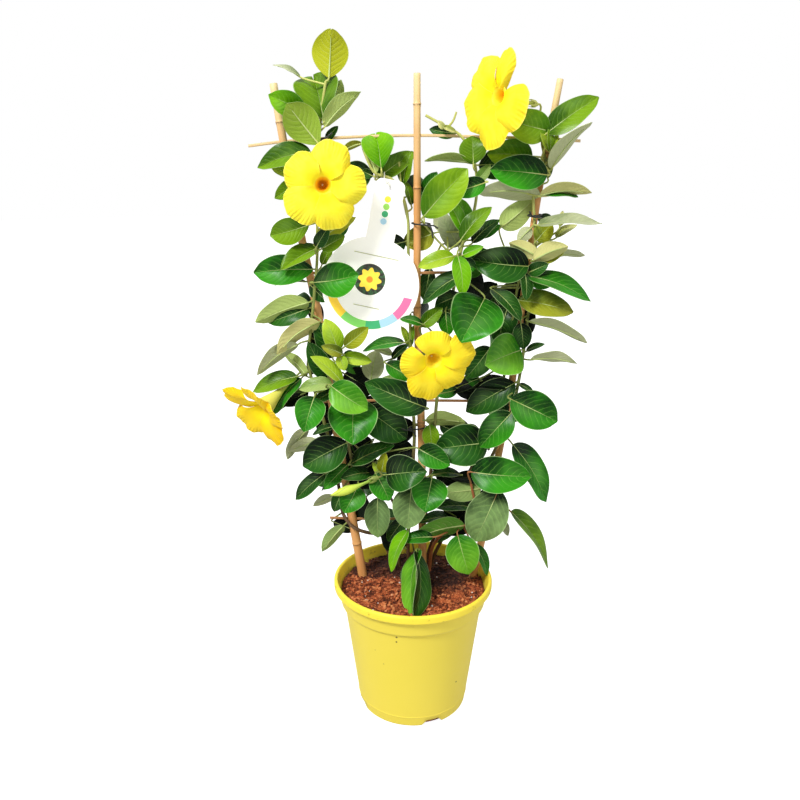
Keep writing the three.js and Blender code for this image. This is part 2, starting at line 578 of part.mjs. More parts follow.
// Soil: peat heaped a little towards the middle, 0.4 mm inside the pot, with plain holes for canes and stems
const soilSide = (z) => wallRadius(z) - WALL - 0.6;
const soilProfile = [
  [0, FLOOR + GAP], [soilSide(FLOOR) - 0.3, FLOOR + GAP], [soilSide(STEP_HEIGHT - 2), STEP_HEIGHT - 2],
  [BAND_RADIUS - WALL - 0.5, STEP_HEIGHT + 3], [BAND_RADIUS + 0.9 - WALL, SOIL_HEIGHT - 3.5],
  [72, SOIL_HEIGHT - 2], [58, SOIL_HEIGHT - 1], [43, SOIL_HEIGHT], [28, SOIL_HEIGHT], [13, SOIL_HEIGHT],
  [0, SOIL_HEIGHT],
];
const soilGeometry = turned(soilProfile, 22);
const soilPlaces = soilGeometry.attributes.position;
for (let i = 0; i < soilPlaces.count; i += 1) {
  const [x, y, z] = [soilPlaces.getX(i), soilPlaces.getY(i), soilPlaces.getZ(i)];
  const inside = THREE.MathUtils.smoothstep(z, SOIL_HEIGHT - 3, SOIL_HEIGHT - 1.5);
  const lumps = Math.sin(x * 0.21 + 1) * Math.cos(y * 0.17) + 0.8 * Math.sin(x * 0.13 - y * 0.29 + 2);
  soilPlaces.setZ(i, z + inside * lumps);
}
let soil = solidOf(soilGeometry);
for (const cane of Object.values(canes)) soil = soil.subtract(caneSolid(cane, GAP));
for (const { root } of Object.values(leafyStems)) {
  const hole = new THREE.CylinderGeometry(STEM_RADIUS + 1.1, STEM_RADIUS + 1.1, 60, 6);
  hole.rotateX(Math.PI / 2);
  hole.translate(root[0], root[1], ROOT_BOTTOM - GAP + 30);
  soil = soil.subtract(solidOf(hole));
}
soil = largestBody(soil);
addPiece('soil', soil, 'soil');
addObstacle(soil, 'soil');

// Plant ties: a loop of soft black tie round a cane and a stem, knotted in front with two tails
const ties = {
  tie_centre_high: { cane: 'cane_centre', z: 518, held: [10, 517, 8], tails: [[9, 5, -3], [4, 6, -12]] },
  tie_centre_low: { cane: 'cane_centre', z: 309, held: [1, 308, 3], tails: [[-8, 6, 3], [7, 7, -6]] },
  tie_right_high: { cane: 'cane_right', z: 526, held: [117, 523, 9], tails: [[-6, 7, 5], [9, 6, -4]] },
  tie_right_middle: { cane: 'cane_right', z: 475, held: [119, 474, 5], tails: [[-9, 6, 2], [-5, 7, -8]] },
  tie_right_low: { cane: 'cane_right', z: 343, held: [106, 343, 6], tails: [[-9, 5, 4], [6, 7, -6]] },
};

function tieSolid(middle, towards, across, halfLong, halfWide, tails) {
  const ring = new THREE.TorusGeometry(1, TIE_RADIUS / halfWide, 3, 10);
  const places = ring.attributes.position;
  const normal = towards.clone().cross(across);
  for (let i = 0; i < places.count; i += 1) {
    const [u, v, w] = [places.getX(i), places.getY(i), places.getZ(i)];
    const place = middle.clone().addScaledVector(towards, u * halfLong);
    place.addScaledVector(across, v * halfWide).addScaledVector(normal, w * halfWide);
    places.setXYZ(i, place.x, place.y, place.z);
  }
  const knotPlace = middle.clone().addScaledVector(towards, halfLong);
  const knot = new THREE.OctahedronGeometry(2.2, 0).translate(knotPlace.x, knotPlace.y, knotPlace.z);
  const solids = [solidOf(ring), solidOf(knot)];
  for (const [x, forward, z] of tails) {
    const end = knotPlace.clone().add(new THREE.Vector3(x, -forward, z));
    const bend = knotPlace.clone().add(new THREE.Vector3(x * 0.55, -forward * 0.5, z * 0.2));
    solids.push(solidOf(tube([knotPlace, bend, end], TIE_RADIUS * 0.9, 3, 2)));
  }
  return joined(solids);
}

for (const [name, { cane, z, held, tails }] of Object.entries(ties)) {
  const post = caneAt(cane, z);
  const stem = seen(...held);
  stem.z = z;
  const towards = stem.clone().sub(post);
  const halfLong = towards.length() / 2 + TIE_PAST;
  towards.normalize();
  const across = new THREE.Vector3(-towards.y, towards.x, 0);
  const solid = tieSolid(post.lerp(stem, 0.5), towards, across, halfLong, TIE_HALF_WIDTH, tails);
  addPiece(name, solid, 'tie');
  addObstacle(solid, name);
}

// The tie at the top left is lashed aslant over the crossing of a stem and the top crossbar
const lashed = seen(-90.5, 596.8, 3);
const slantwise = new THREE.Vector3(1, 0, -1).normalize();
const lashing = tieSolid(lashed, new THREE.Vector3(0, -1, 0), slantwise, 6.8, 5.5, [[13, 3, 5], [-8, 5, 2]]);
addPiece('tie_bar_left', lashing, 'tie');
addObstacle(lashing, 'tie_bar_left');

// Hang label: a round card with a neck and a hole, hung upright in front of the centre cane
const labelMiddle = seen(-43.5, 457.5, 10);
const [neckHalf, neckTop, neckRound] = [14, 103, 6];
const neckFoot = Math.sqrt(LABEL_RADIUS ** 2 - neckHalf ** 2);
const neckTurn = Math.asin(neckHalf / LABEL_RADIUS);
const card = new THREE.Shape();
card.moveTo(neckHalf, neckFoot);
card.lineTo(neckHalf, neckTop - neckRound);
card.absarc(neckHalf - neckRound, neckTop - neckRound, neckRound, 0, Math.PI / 2, false);
card.absarc(neckRound - neckHalf, neckTop - neckRound, neckRound, Math.PI / 2, Math.PI, false);
card.lineTo(-neckHalf, neckFoot);
card.absarc(0, 0, LABEL_RADIUS, Math.PI / 2 + neckTurn, 2.5 * Math.PI - neckTurn, false);
const cardHole = new THREE.Path();
cardHole.absarc(0, LABEL_HOLE_UP, LABEL_HOLE_RADIUS, 0, 2 * Math.PI, true);
card.holes.push(cardHole);
const cardOptions = { depth: LABEL_THICK, bevelEnabled: false, curveSegments: 6 };
const labelGeometry = new THREE.ExtrudeGeometry(card, cardOptions);
const labelTurn = THREE.MathUtils.degToRad(LABEL_TURN);
labelGeometry.rotateZ(-labelTurn).rotateX(Math.PI / 2);
labelGeometry.translate(labelMiddle.x, labelMiddle.y, labelMiddle.z);
const label = solidOf(labelGeometry);
addPiece('label', label, 'label');
addObstacle(label, 'label');

// Label thread: knotted in front of the card, through its hole, up behind, over the twig and down to the knot
const hole = labelMiddle.clone();
hole.x += Math.sin(labelTurn) * LABEL_HOLE_UP;
hole.y -= LABEL_THICK / 2;
hole.z += Math.cos(labelTurn) * LABEL_HOLE_UP;
const twigPlace = seen(-30, 564, 7.4);
const branch = leafyStems.leafy_stem_centre.samples.reduce((best, one) => (
  one.distanceTo(twigPlace) < best.distanceTo(twigPlace) ? one : best)).clone();
const threadPoints = [];
const frontBack = new THREE.Vector3(0, 1, 0);
const upward = new THREE.Vector3(0, 0, 1);
for (const turn of [-80, -35, 0, 45, 90]) {
  const angle = THREE.MathUtils.degToRad(turn);
  threadPoints.push(hole.clone().addScaledVector(frontBack, 2.3 * Math.sin(angle))
    .addScaledVector(upward, 1.5 - 2.3 * Math.cos(angle)));
}
threadPoints.unshift(hole.clone().add(new THREE.Vector3(-1.6, -2.4, 4.6)));
threadPoints.push(hole.clone().lerp(branch, 0.5).add(new THREE.Vector3(0, 3.4, 0)));
for (const turn of [-25, 10, 50, 90, 130, 170, 200]) {
  const angle = THREE.MathUtils.degToRad(turn);
  threadPoints.push(branch.clone().addScaledVector(frontBack, 4.3 * Math.cos(angle))
    .addScaledVector(upward, 3.8 * Math.sin(angle)));
}
threadPoints.push(hole.clone().lerp(branch, 0.62).add(new THREE.Vector3(-0.8, -3.9, 0.4)));
threadPoints.push(hole.clone().add(new THREE.Vector3(-2.6, -2.6, 5.4)));
const knotted = new THREE.OctahedronGeometry(1.6, 0);
const knotAt = threadPoints[0].clone().lerp(threadPoints[threadPoints.length - 1], 0.5);
knotted.translate(knotAt.x, knotAt.y, knotAt.z);
const thread = joined([solidOf(tube(threadPoints, THREAD_RADIUS, 8, 20)), solidOf(knotted)]);
addPiece('label_thread', thread, 'thread');
addObstacle(thread, 'label_thread');

// Blooms: five broad petals, each slanted so that one edge lies over the next, fused to a yellow funnel
function petalPoint(u, v, turn, { reach, cup }) {
  const halfWidth = reach * (0.15 + 0.31 * Math.sin(Math.PI * 0.85 * u ** 1.15));
  const along = ((reach - PETAL_ROOT) * u * (1 - 0.2 * v * v)) / Math.hypot(1, cup);
  const away = PETAL_ROOT + along;
  const slant = 2.4 * v * Math.sin(Math.PI * Math.min(1, u + 0.15));
  const lift = along * cup + 3 * Math.sin(Math.PI * u) - 4 * u * u + slant;
  const [c, s] = [Math.cos(turn), Math.sin(turn)];
  return new THREE.Vector3(away * c - v * halfWidth * s, away * s + v * halfWidth * c, lift - 1);
}

function bloomSolid(bloom) {
  const { axis, mouth } = bloomFrame(bloom);
  const long = TUBE_LENGTH;
  const funnel = [
    [0, -long], [1.6, -long], [2.4, -0.65 * long], [4, -0.5 * long], [8, -0.25 * long], [12, 0],
    [10.6, 0.3], [6.6, -0.22 * long], [2.4, -0.42 * long], [0, -0.45 * long],
  ];
  const shapes = [turned(funnel, 8)];
  const [rows, columns] = [[0, 0.35, 0.7, 1], [-1, -0.35, 0.35, 1]];
  for (let k = 0; k < 5; k += 1) {
    const petalTurn = THREE.MathUtils.degToRad(bloom.turn - 72 * k);
    const points = rows.map((u) => columns.map((v) => petalPoint(u, v, petalTurn, bloom)));
    const thickness = (i, j) => (i > 0 && (i === 3 || j === 0 || j === 3) ? 0 : PETAL_THICK);
    shapes.push(sheet(points, upward, thickness));
  }
  const across = new THREE.Vector3(1, 0, 0).addScaledVector(axis, -axis.x).normalize();
  const turnTo = new THREE.Matrix4().makeBasis(across, axis.clone().cross(across), axis).setPosition(mouth);
  return joined(shapes.map((shape) => solidOf(shape.applyMatrix4(turnTo))));
}

for (const [name, bloom] of Object.entries(blooms)) {
  const solid = bloomSolid(bloom);
  addPiece(name, solid, 'petal');
  addObstacle(solid, name);
}

// Long bud: rolled petals, slender below and swollen past the middle, ending in a point
const budShares = [
  [0, 0], [1.5, 0], [1.4, 0.2], [2, 0.35], [4.2, 0.52], [4.7, 0.66], [3.4, 0.82], [1.5, 0.94], [0, 1],
];
const budProfile = budShares.map(([radius, share]) => [radius, share * budLength]);
const budSolid = solidOf(aimed(turned(budProfile, 8), budRoot, budAxis));
addPiece('bud_long', budSolid, 'bud');
addObstacle(budSolid, 'bud_long');

// A leaf's own frame: its base, its axis to the tip, its upper face's direction and its real width
function leafFrame([baseX, baseZ, tipX, tipZ, widthSeen, out, lean, side], slide, reach) {
  const lengthSeen = Math.hypot(tipX - baseX, tipZ - baseZ);
  const hidden = Math.sqrt(Math.max(0, (LEAF_PROPORTION * widthSeen) ** 2 - lengthSeen ** 2));
  const depth = Math.abs(lean) > 1 ? lean : lean * hidden;
  const base = seen(baseX, baseZ, out + slide);
  const axis = seen(tipX, tipZ, out + slide + depth + reach).sub(base);
  const length = axis.length();
  axis.normalize();
  const width = Math.max(widthSeen, Math.min(0.5 * length, 3 * widthSeen));
  const sight = EYE.clone().sub(base).normalize();
  const facing = sight.clone().addScaledVector(axis, -sight.dot(axis)).normalize();
  const edge = axis.clone().cross(facing);
  const cosine = Math.min(1, widthSeen / width);
  const sine = Math.sqrt(1 - cosine * cosine) * (edge.z < 0 ? -1 : 1);
  const up = facing.multiplyScalar(cosine * side).addScaledVector(edge, sine).normalize();
  return { base, axis, length, width, up, across: axis.clone().cross(up) };
}

function midribAt({ base, axis, length, up }, t) {
  return base.clone().addScaledVector(axis, t * length)
    .addScaledVector(up, BLADE_ARCH * length * Math.sin(Math.PI * t));
}

// Large blades have four rings and small ones two, where the blade is round and full enough to need them
function ringShares(width) {
  if (width > LARGE_WIDTH) return [0.13, 0.38, 0.66, 0.88];
  return width > SMALL_WIDTH ? [0.18, 0.5, 0.84] : [0.3, 0.72];
}

// One skin from inside the stem, through a slim stalk, to the blade's tip
function leafSolid(frame, stemPlace, extra) {
  const { base, axis, length, width, up, across } = frame;
  const away = base.clone().sub(stemPlace).normalize();
  const bend = away.clone().add(axis).normalize();
  const wide = across.clone().addScaledVector(bend, -across.dot(bend)).normalize();
  const deep = wide.clone().cross(bend);
  const slim = PETIOLE_RADIUS + extra;
  const rings = [[
    base.clone().addScaledVector(wide, slim), base.clone().addScaledVector(deep, slim),
    base.clone().addScaledVector(wide, -slim), base.clone().addScaledVector(deep, -slim),
  ]];
  const shares = ringShares(width);
  for (const t of shares) {
    const half = (width / 2) * Math.sin(Math.PI * t ** 0.8) ** 0.62 + extra;
    const fold = BLADE_FOLD * half;
    const thick = BLADE_THICK / 2 + extra;
    const rib = midribAt(frame, t);
    rings.push([
      rib.clone().addScaledVector(across, half).addScaledVector(up, fold),
      rib.clone().addScaledVector(up, thick),
      rib.clone().addScaledVector(across, -half).addScaledVector(up, fold),
      rib.clone().addScaledVector(up, -thick),
    ]);
  }
  const start = stemPlace.clone().addScaledVector(away, -STALK_SUNK);
  return solidOf(pointed(start, rings, base.clone().addScaledVector(axis, length + extra)));
}

// Leaves at the back, by a rule: spread along the stem, pointing away from the viewer to either side
const DRAW_STEP = 16807;
const DRAW_RANGE = 2147483647;
let drawState = 20260;
function drawn() {
  drawState = (drawState * DRAW_STEP) % DRAW_RANGE;
  return drawState / DRAW_RANGE;
}

function backLeaves({ main, behind }) {
  const rows = [];
  for (let k = 0; k < behind; k += 1) {
    const share = 0.25 + (0.7 * (k + 0.5)) / behind;
    const [x, z, out] = main[Math.round(share * (main.length - 1))];
    const way = k % 2 ? 1 : -1;
    const tipX = x + way * (16 + 16 * drawn());
    rows.push([x + way * 3, z + 1, tipX, z - 6 + 24 * drawn(), 24 + 8 * drawn(), out - 8, -0.9, 1]);
  }
  return rows;
}

// Slides along the sight line, smallest first: the whole leaf, then its tip alone
const reaches = [0, 10, -10, 20, -20, 30];
const slides = [0, 6, -6, 12, -12, 18, -18, 24].flatMap((slide) => reaches.map((reach) => [slide, reach]));
const slideSize = ([slide, reach]) => Math.abs(slide) + 0.6 * Math.abs(reach);
slides.sort((one, two) => slideSize(one) - slideSize(two));

const apart = (one, two) => [0, 1, 2].some((k) => one.max[k] < two.min[k] || two.max[k] < one.min[k]);
const meets = (one, two) => !one.intersect(two).isEmpty();

// The stem place that a leaf's stalk leaves from: near, and in line with the blade
function stalkFoot(samples, { base, axis }) {
  const strain = (place) => {
    const away = base.clone().sub(place);
    return (away.length() + 1) * (1.7 - away.normalize().dot(axis));
  };
  return samples.reduce((best, one) => (strain(one) < strain(best) ? one : best));
}

function placeLeaf(row, name, stem, own) {
  let best = null;
  for (const [slide, reach] of slides) {
    const cost = slideSize([slide, reach]);
    if (best && best.cost <= cost) break;
    const frame = leafFrame(row, slide, reach);
    const foot = stalkFoot(stem.samples, frame);
    const wide = leafSolid(frame, foot, GAP);
    const box = wide.boundingBox();
    const near = obstacles.filter((thing) => thing.owner !== name && !apart(thing, box));
    if (near.some((thing) => meets(thing.solid, wide))) continue;
    const crossings = own.filter((thing) => !apart(thing, box) && meets(thing.solid, wide)).length;
    const total = cost + CROSSING_COST * crossings;
    if (!best || total < best.cost) best = { cost: total, frame, foot };
  }
  return best;
}

for (const [name, stem] of Object.entries(leafyStems)) {
  const own = [];
  for (const row of [...stem.leaves, ...backLeaves(stem)]) {
    const place = placeLeaf(row, name, stem, own);
    if (!place) continue;
    const solid = leafSolid(place.frame, place.foot, 0);
    own.push({ solid, ...solid.boundingBox() });
    addObstacle(solid, name);
  }
  addPiece(name, joined([...stem.solids, ...own.map((leaf) => leaf.solid)]), 'leaf');
}

export default part;
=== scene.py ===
import math

import bpy
import numpy as np
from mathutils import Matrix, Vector, noise
from mathutils.kdtree import KDTree


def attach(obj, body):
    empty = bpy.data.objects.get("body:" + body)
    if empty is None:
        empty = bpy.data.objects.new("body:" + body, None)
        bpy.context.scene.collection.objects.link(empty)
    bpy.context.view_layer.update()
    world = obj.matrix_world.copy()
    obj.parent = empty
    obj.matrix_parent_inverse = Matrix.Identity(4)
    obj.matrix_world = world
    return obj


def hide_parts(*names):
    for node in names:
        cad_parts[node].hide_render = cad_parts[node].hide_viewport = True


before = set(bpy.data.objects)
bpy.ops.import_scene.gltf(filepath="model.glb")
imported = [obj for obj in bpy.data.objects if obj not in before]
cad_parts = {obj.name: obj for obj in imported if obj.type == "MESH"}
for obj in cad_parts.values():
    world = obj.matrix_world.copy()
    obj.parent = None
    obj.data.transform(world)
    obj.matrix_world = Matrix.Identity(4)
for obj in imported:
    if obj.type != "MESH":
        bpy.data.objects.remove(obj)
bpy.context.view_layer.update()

# Camera: held just below the height of the top crossbar, 0.8 m in front of it and tipped down a little.
# Places on the plant are given as this eye sees them against the trellis: x and z on its plane in
# millimetres, then how far in front of that plane along the sight line.
MM = 0.001
EYE = np.array([-14.0, -777.0, 573.0])
CAMERA_PITCH = 16.36
CAMERA_LENS = 36
SENSOR_WIDTH = 36
TRELLIS_Y = 20.0

camera_data = bpy.data.cameras.new("camera")
camera_data.lens = CAMERA_LENS
camera_data.sensor_width = SENSOR_WIDTH
camera = bpy.data.objects.new("camera", camera_data)
camera.location = EYE * MM
camera.rotation_euler = (math.radians(90 - CAMERA_PITCH), 0, 0)
bpy.context.scene.collection.objects.link(camera)
bpy.context.scene.camera = camera
bpy.context.scene.view_settings.view_transform = "Standard"


def seen(x, z, out):
    """The place that the eye sees at x and z on the trellis plane, this far in front of it."""
    on_plane = np.array([x, TRELLIS_Y, z], float)
    return on_plane + (EYE - on_plane) * (out / (TRELLIS_Y - EYE[1]))


# Label thread: a loop of thin white elastic thread, passed through the hole in the hang label and over
# a twig, and knotted in front of the card. It is the object's only free cord, and very short.
LINE_STEPS = 12
THREAD_RADIUS = 0.5
LABEL_MIDDLE = seen(-43.5, 457.5, 10)
LABEL_TURN = math.radians(12)
LABEL_HOLE_UP = 95
LABEL_THICK = 0.8
CENTRE_STEM_ROOT = (-5, 42)
CENTRE_STEM = [
    (-5, 190, -15), (-2, 230, -10), (0, 268, -3), (1, 308, 3), (-2, 350, 5), (-3, 395, 5),
    (-4, 430, 4.5), (-5, 470, 4.5), (-6, 500, 4), (-6, 520, 3), (-11, 543, 3), (-22, 560, 6.5),
    (-38, 566, 8), (-46, 580, 5), (-50, 592, 3),
]
STEM_FOOT = (116, 128, 143)
TWIG_PLACE = (-30, 564, 7.4)
STEM_STEP = 3
THREAD_STEP = 0.8
THREAD_SIDES = 12
HOLE_LOOP = 2.3
HOLE_LOOP_RISE = 1.5
HOLE_TURNS = (-80, -35, 0, 45, 90)
TWIG_LOOP = (4.3, 3.8)
TWIG_TURNS = (-25, 10, 50, 90, 130, 170, 200)
BACK_RUN = (0, 3.4, 0)
FRONT_RUN = (-0.8, -3.9, 0.4)
FRONT_RUN_SHARE = 0.62
KNOT_START = (-1.6, -2.4, 4.6)
KNOT_END = (-2.6, -2.6, 5.4)
KNOT_SIZE = (1.0, 0.7, 1.0)
KNOT_TAILS = ((-3.2, -1.2, -2.0), (1.8, -1.6, -3.4))


def unit(vector):
    return vector / np.linalg.norm(vector)


def full_turn(sides):
    """The angles of this many places spread evenly round a circle."""
    return np.linspace(0, 2 * math.pi, sides, endpoint=False)


def smooth_line(points, spacing):
    """Points about spacing apart on the smooth curve through the given points."""
    given = [np.asarray(point, float) for point in points]
    whole = [2 * given[0] - given[1], *given, 2 * given[-1] - given[-2]]
    dense = [given[0]]
    for before, start, end, after in zip(whole, whole[1:], whole[2:], whole[3:]):
        first = np.linalg.norm(start - before) ** 0.5
        middle = np.linalg.norm(end - start) ** 0.5
        last = np.linalg.norm(after - end) ** 0.5
        leave = (start - before) / first - (end - before) / (first + middle) + (end - start) / middle
        arrive = (end - start) / middle - (after - start) / (middle + last) + (after - end) / last
        leave = leave * middle
        arrive = arrive * middle
        for step in range(1, LINE_STEPS + 1):
            w = step / LINE_STEPS
            square = (3 * (end - start) - 2 * leave - arrive) * w * w
            cube = (2 * (start - end) + leave + arrive) * w ** 3
            dense.append(start + leave * w + square + cube)
    dense = np.array(dense)
    travelled = np.concatenate([[0], np.cumsum(np.linalg.norm(np.diff(dense, axis=0), axis=1))])
    count = max(2, round(travelled[-1] / spacing))
    stops = np.linspace(0, travelled[-1], count + 1)
    return np.stack([np.interp(stops, travelled, dense[:, k]) for k in range(3)], axis=1)


def swept(line, radii, sides, flatness=1.0, upright=(0, 0, 1)):
    """Rings of a round or oval section carried along a line without twist."""
    line = np.asarray(line, float)
    radii = np.broadcast_to(radii, len(line))
    directions = np.gradient(line, axis=0)
    directions /= np.linalg.norm(directions, axis=1)[:, None]
    side = np.cross(directions[0], upright)
    if np.linalg.norm(side) < 0.1:
        side = np.cross(directions[0], (1, 0, 0))
    angles = full_turn(sides)
    rings = []
    for place, direction, radius in zip(line, directions, radii):
        side = unit(side - direction * side.dot(direction))
        other = np.cross(direction, side)
        rings.append(place + radius * (np.outer(np.cos(angles), side)
                                       + flatness * np.outer(np.sin(angles), other)))
    return np.array(rings)


class Form:
    """Gathers the skins of one piece in millimetres, then makes its Blender object."""

    def __init__(self):
        self.corners = []
        self.faces = []
        self.slots = []
        self.marks = []
        self.count = 0

    def add(self, corners, faces, slot=0, marks=None):
        """One mesh; marks are values at its corners that the material reads by name."""
        corners = np.asarray(corners, float)
        self.corners.append(corners)
        self.faces.extend([[corner + self.count for corner in face] for face in faces])
        self.slots.extend([slot] * len(faces))
        filled = {}
        for name, value in (marks or {}).items():
            filled[name] = np.broadcast_to(value, len(corners))
        self.marks.append((len(corners), filled))
        self.count += len(corners)

    def loft(self, rings, slot=0, marks=None):
        """A closed skin over rings that turn counter-clockwise about their way of travel."""
        rings = np.asarray(rings, float)
        rows, columns = rings.shape[:2]
        grid = np.arange(rows * columns).reshape(rows, columns)
        around = np.roll(grid, -1, axis=1)
        quads = np.stack([grid[:-1], around[:-1], around[1:], grid[1:]], axis=-1).reshape(-1, 4)
        first = rows * columns
        faces = quads.tolist()
        faces += [[first, b, a] for a, b in zip(grid[0].tolist(), around[0].tolist())]
        faces += [[first + 1, a, b] for a, b in zip(grid[-1].tolist(), around[-1].tolist())]
        ends = np.array([rings[0].mean(axis=0), rings[-1].mean(axis=0)])
        spread = {}
        for name, value in (marks or {}).items():
            value = np.asarray(value, float)
            value = np.broadcast_to(value[:, None] if value.ndim == 1 else value, (rows, columns))
            spread[name] = np.concatenate([value.ravel(), [value[0].mean(), value[-1].mean()]])
        self.add(np.concatenate([rings.reshape(-1, 3), ends]), faces, slot, spread)

    def make(self, name, materials, slot, replaced=(), sharp=None):
        """The piece's object, with sharp edges where its faces meet at more than this many degrees."""
        mesh = bpy.data.meshes.new(name)
        mesh.from_pydata((np.concatenate(self.corners) * MM).tolist(), [], self.faces)
        mesh.polygons.foreach_set("use_smooth", [True] * len(self.faces))
        mesh.polygons.foreach_set("material_index", self.slots)
        names = sorted({name for _, marks in self.marks for name in marks})
        for mark in names:
            values = [np.asarray(marks.get(mark, np.zeros(count))) for count, marks in self.marks]
            attribute = mesh.attributes.new(mark, "FLOAT", "POINT")
            attribute.data.foreach_set("value", np.concatenate(values).astype(np.float32))
        if sharp is not None:
            mesh.set_sharp_from_angle(angle=math.radians(sharp))
        for material in materials:
            mesh.materials.append(material)
        piece = bpy.data.objects.new(name, mesh)
        bpy.context.scene.collection.objects.link(piece)
        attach(piece, "root")
        if replaced:
            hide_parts(*replaced)
        return piece


class Value:
    """A material's output socket. Arithmetic on it adds Math nodes, and node() adds any other node."""

    def __init__(self, tree, socket=None):
        self.tree = tree
        self.socket = socket

    def node(self, kind, settings=None, inputs=None, output=0):
        made = self.tree.nodes.new("ShaderNode" + kind)
        for name, setting in (settings or {}).items():
            if name == "stops":
                while len(made.color_ramp.elements) < len(setting):
                    made.color_ramp.elements.new(1)
                for element, (place, shade) in zip(made.color_ramp.elements, setting):
                    element.position = place
                    element.color = shade
            elif name == "steps":
                made.color_ramp.interpolation = setting
            else:
                setattr(made, name, setting)
        for name, given in (inputs or {}).items():
            if isinstance(given, Value):
                self.tree.links.new(given.socket, made.inputs[name])
            else:
                made.inputs[name].default_value = given
        return Value(self.tree, made.outputs[output])

    def math(self, operation, *others):
        return self.node("Math", {"operation": operation}, dict(enumerate((self, *others))))

    def __add__(self, other):
        return self.math("ADD", other)

    def __sub__(self, other):
        return self.math("SUBTRACT", other)

    def __rsub__(self, other):
        return self.node("Math", {"operation": "SUBTRACT"}, {0: other, 1: self})

    def __mul__(self, other):
        return self.math("MULTIPLY", other)

    def __truediv__(self, other):
        return self.math("DIVIDE", other)

    def __pow__(self, other):
        return self.math("POWER", other)

    __radd__ = __add__
    __rmul__ = __mul__

    def size(self):
        return self.math("ABSOLUTE")

    def ease(self, low, high):
        """0 below low, 1 above high and a smooth step between; the two may be the other way round."""
        settings = {"interpolation_type": "SMOOTHSTEP"}
        return self.node("MapRange", settings, {"Value": self, "From Min": low, "From Max": high})

    def blend(self, low, high):
        """A colour from low, where this value is 0, to high, where it is 1."""
        settings = {"data_type": "RGBA"}
        return self.node("Mix", settings, {0: self, 6: low, 7: high}, output=2)

    def mark(self, name):
        """The value that a form's corners carry under this name."""
        return self.node("Attribute", {"attribute_name": name}, output=2)

    def place(self, stretch=(1, 1, 1)):
        """The point on the object in metres, stretched along each axis."""
        here = self.node("TexCoord", output=3)
        return self.node("VectorMath", {"operation": "MULTIPLY"}, {0: here, 1: stretch})

    def spots(self, scale):
        """How far the point lies from the nearest of this many scattered places to a metre."""
        return self.node("TexVoronoi", {}, {"Vector": self.place(), "Scale": scale})

    def coordinate(self, axis):
        """How far the point on the object lies along X, Y or Z, numbered 0 to 2, in metres."""
        return self.node("SeparateXYZ", {}, {0: self.place()}, output=axis)

    def grain(self, scale, detail=3.0, stretch=(1, 1, 1), roughness=0.55):
        """Noise of about 0 to 1, with this many lumps to a metre."""
        inputs = {"Vector": self.place(stretch), "Scale": scale, "Detail": detail, "Roughness": roughness}
        return self.node("TexNoise", {}, inputs)


def tint(red, green, blue):
    """A colour as seen on a screen, 0 to 255, as the light values that Blender takes."""
    shades = []
    for shade in (red, green, blue):
        share = shade / 255
        shades.append(share / 12.92 if share <= 0.04045 else ((share + 0.055) / 1.055) ** 2.4)
    return (*shades, 1.0)


class Finish:
    """One named material: its shader's constants, and what varies over the surface."""

    def __init__(self, name, **constants):
        self.material = bpy.data.materials.new(name)
        self.material.use_nodes = True
        self.shader = self.material.node_tree.nodes["Principled BSDF"]
        self.start = Value(self.material.node_tree)
        for socket, constant in constants.items():
            self.shader.inputs[socket.replace("_", " ")].default_value = constant

    def vary(self, **values):
        for socket, value in values.items():
            self.start.tree.links.new(value.socket, self.shader.inputs[socket.replace("_", " ")])

    def relief(self, height, depth):
        """Bump from a height of 0 to 1 that stands for depth in millimetres."""
        inputs = {"Height": height, "Strength": 1.0, "Distance": depth * MM}
        self.vary(Normal=self.start.node("Bump", {}, inputs))


thread_finish = Finish("thread_white_elastic", Roughness=0.85)
fibre = thread_finish.start.grain(1800, detail=2)
thread_finish.vary(Base_Color=fibre.blend(tint(205, 202, 190), tint(250, 249, 244)))
thread_finish.relief(fibre, 0.25)

label_hole = LABEL_MIDDLE + np.array([
    math.sin(LABEL_TURN) * LABEL_HOLE_UP, -LABEL_THICK / 2, math.cos(LABEL_TURN) * LABEL_HOLE_UP])
centre_foot = [(*CENTRE_STEM_ROOT, z) for z in STEM_FOOT]
centre_line = smooth_line([*centre_foot, *[seen(*place) for place in CENTRE_STEM]], STEM_STEP)
twig = centre_line[np.argmin(np.linalg.norm(centre_line - seen(*TWIG_PLACE), axis=1))]
thread_route = [label_hole + KNOT_START]
for turn in HOLE_TURNS:
    angle = math.radians(turn)
    loop = (0, HOLE_LOOP * math.sin(angle), HOLE_LOOP_RISE - HOLE_LOOP * math.cos(angle))
    thread_route.append(label_hole + loop)
thread_route.append((label_hole + twig) / 2 + BACK_RUN)
for turn in TWIG_TURNS:
    angle = math.radians(turn)
    thread_route.append(twig + (0, TWIG_LOOP[0] * math.cos(angle), TWIG_LOOP[1] * math.sin(angle)))
thread_route.append(label_hole + FRONT_RUN_SHARE * (twig - label_hole) + FRONT_RUN)
thread_route.append(label_hole + KNOT_END)
thread_line = smooth_line(thread_route, THREAD_STEP)
thread = Form()
thread.loft(swept(thread_line, THREAD_RADIUS, THREAD_SIDES))
knot_middle = (thread_route[0] + thread_route[-1]) / 2
turns = np.linspace(0, 2 * math.pi, 25)
knot_loop = np.stack([np.cos(turns), np.sin(2 * turns), np.sin(turns)], axis=1)
knot_line = knot_middle + knot_loop * KNOT_SIZE
knot = Form()
knot.loft(swept(knot_line, THREAD_RADIUS * 0.9, 10))
for tail in KNOT_TAILS:
    tail_bend = knot_middle + np.array(tail) * (0.6, 1, 0.4)
    tail_line = smooth_line([knot_middle, tail_bend, knot_middle + tail], 0.6)
    knot.loft(swept(tail_line, THREAD_RADIUS * 0.8, 8))
thread_piece = thread.make("thread_loop", [thread_finish.material], "thread", ["label_thread"])
knot_piece = knot.make("thread_knot", [thread_finish.material], "thread", ["label_thread"])

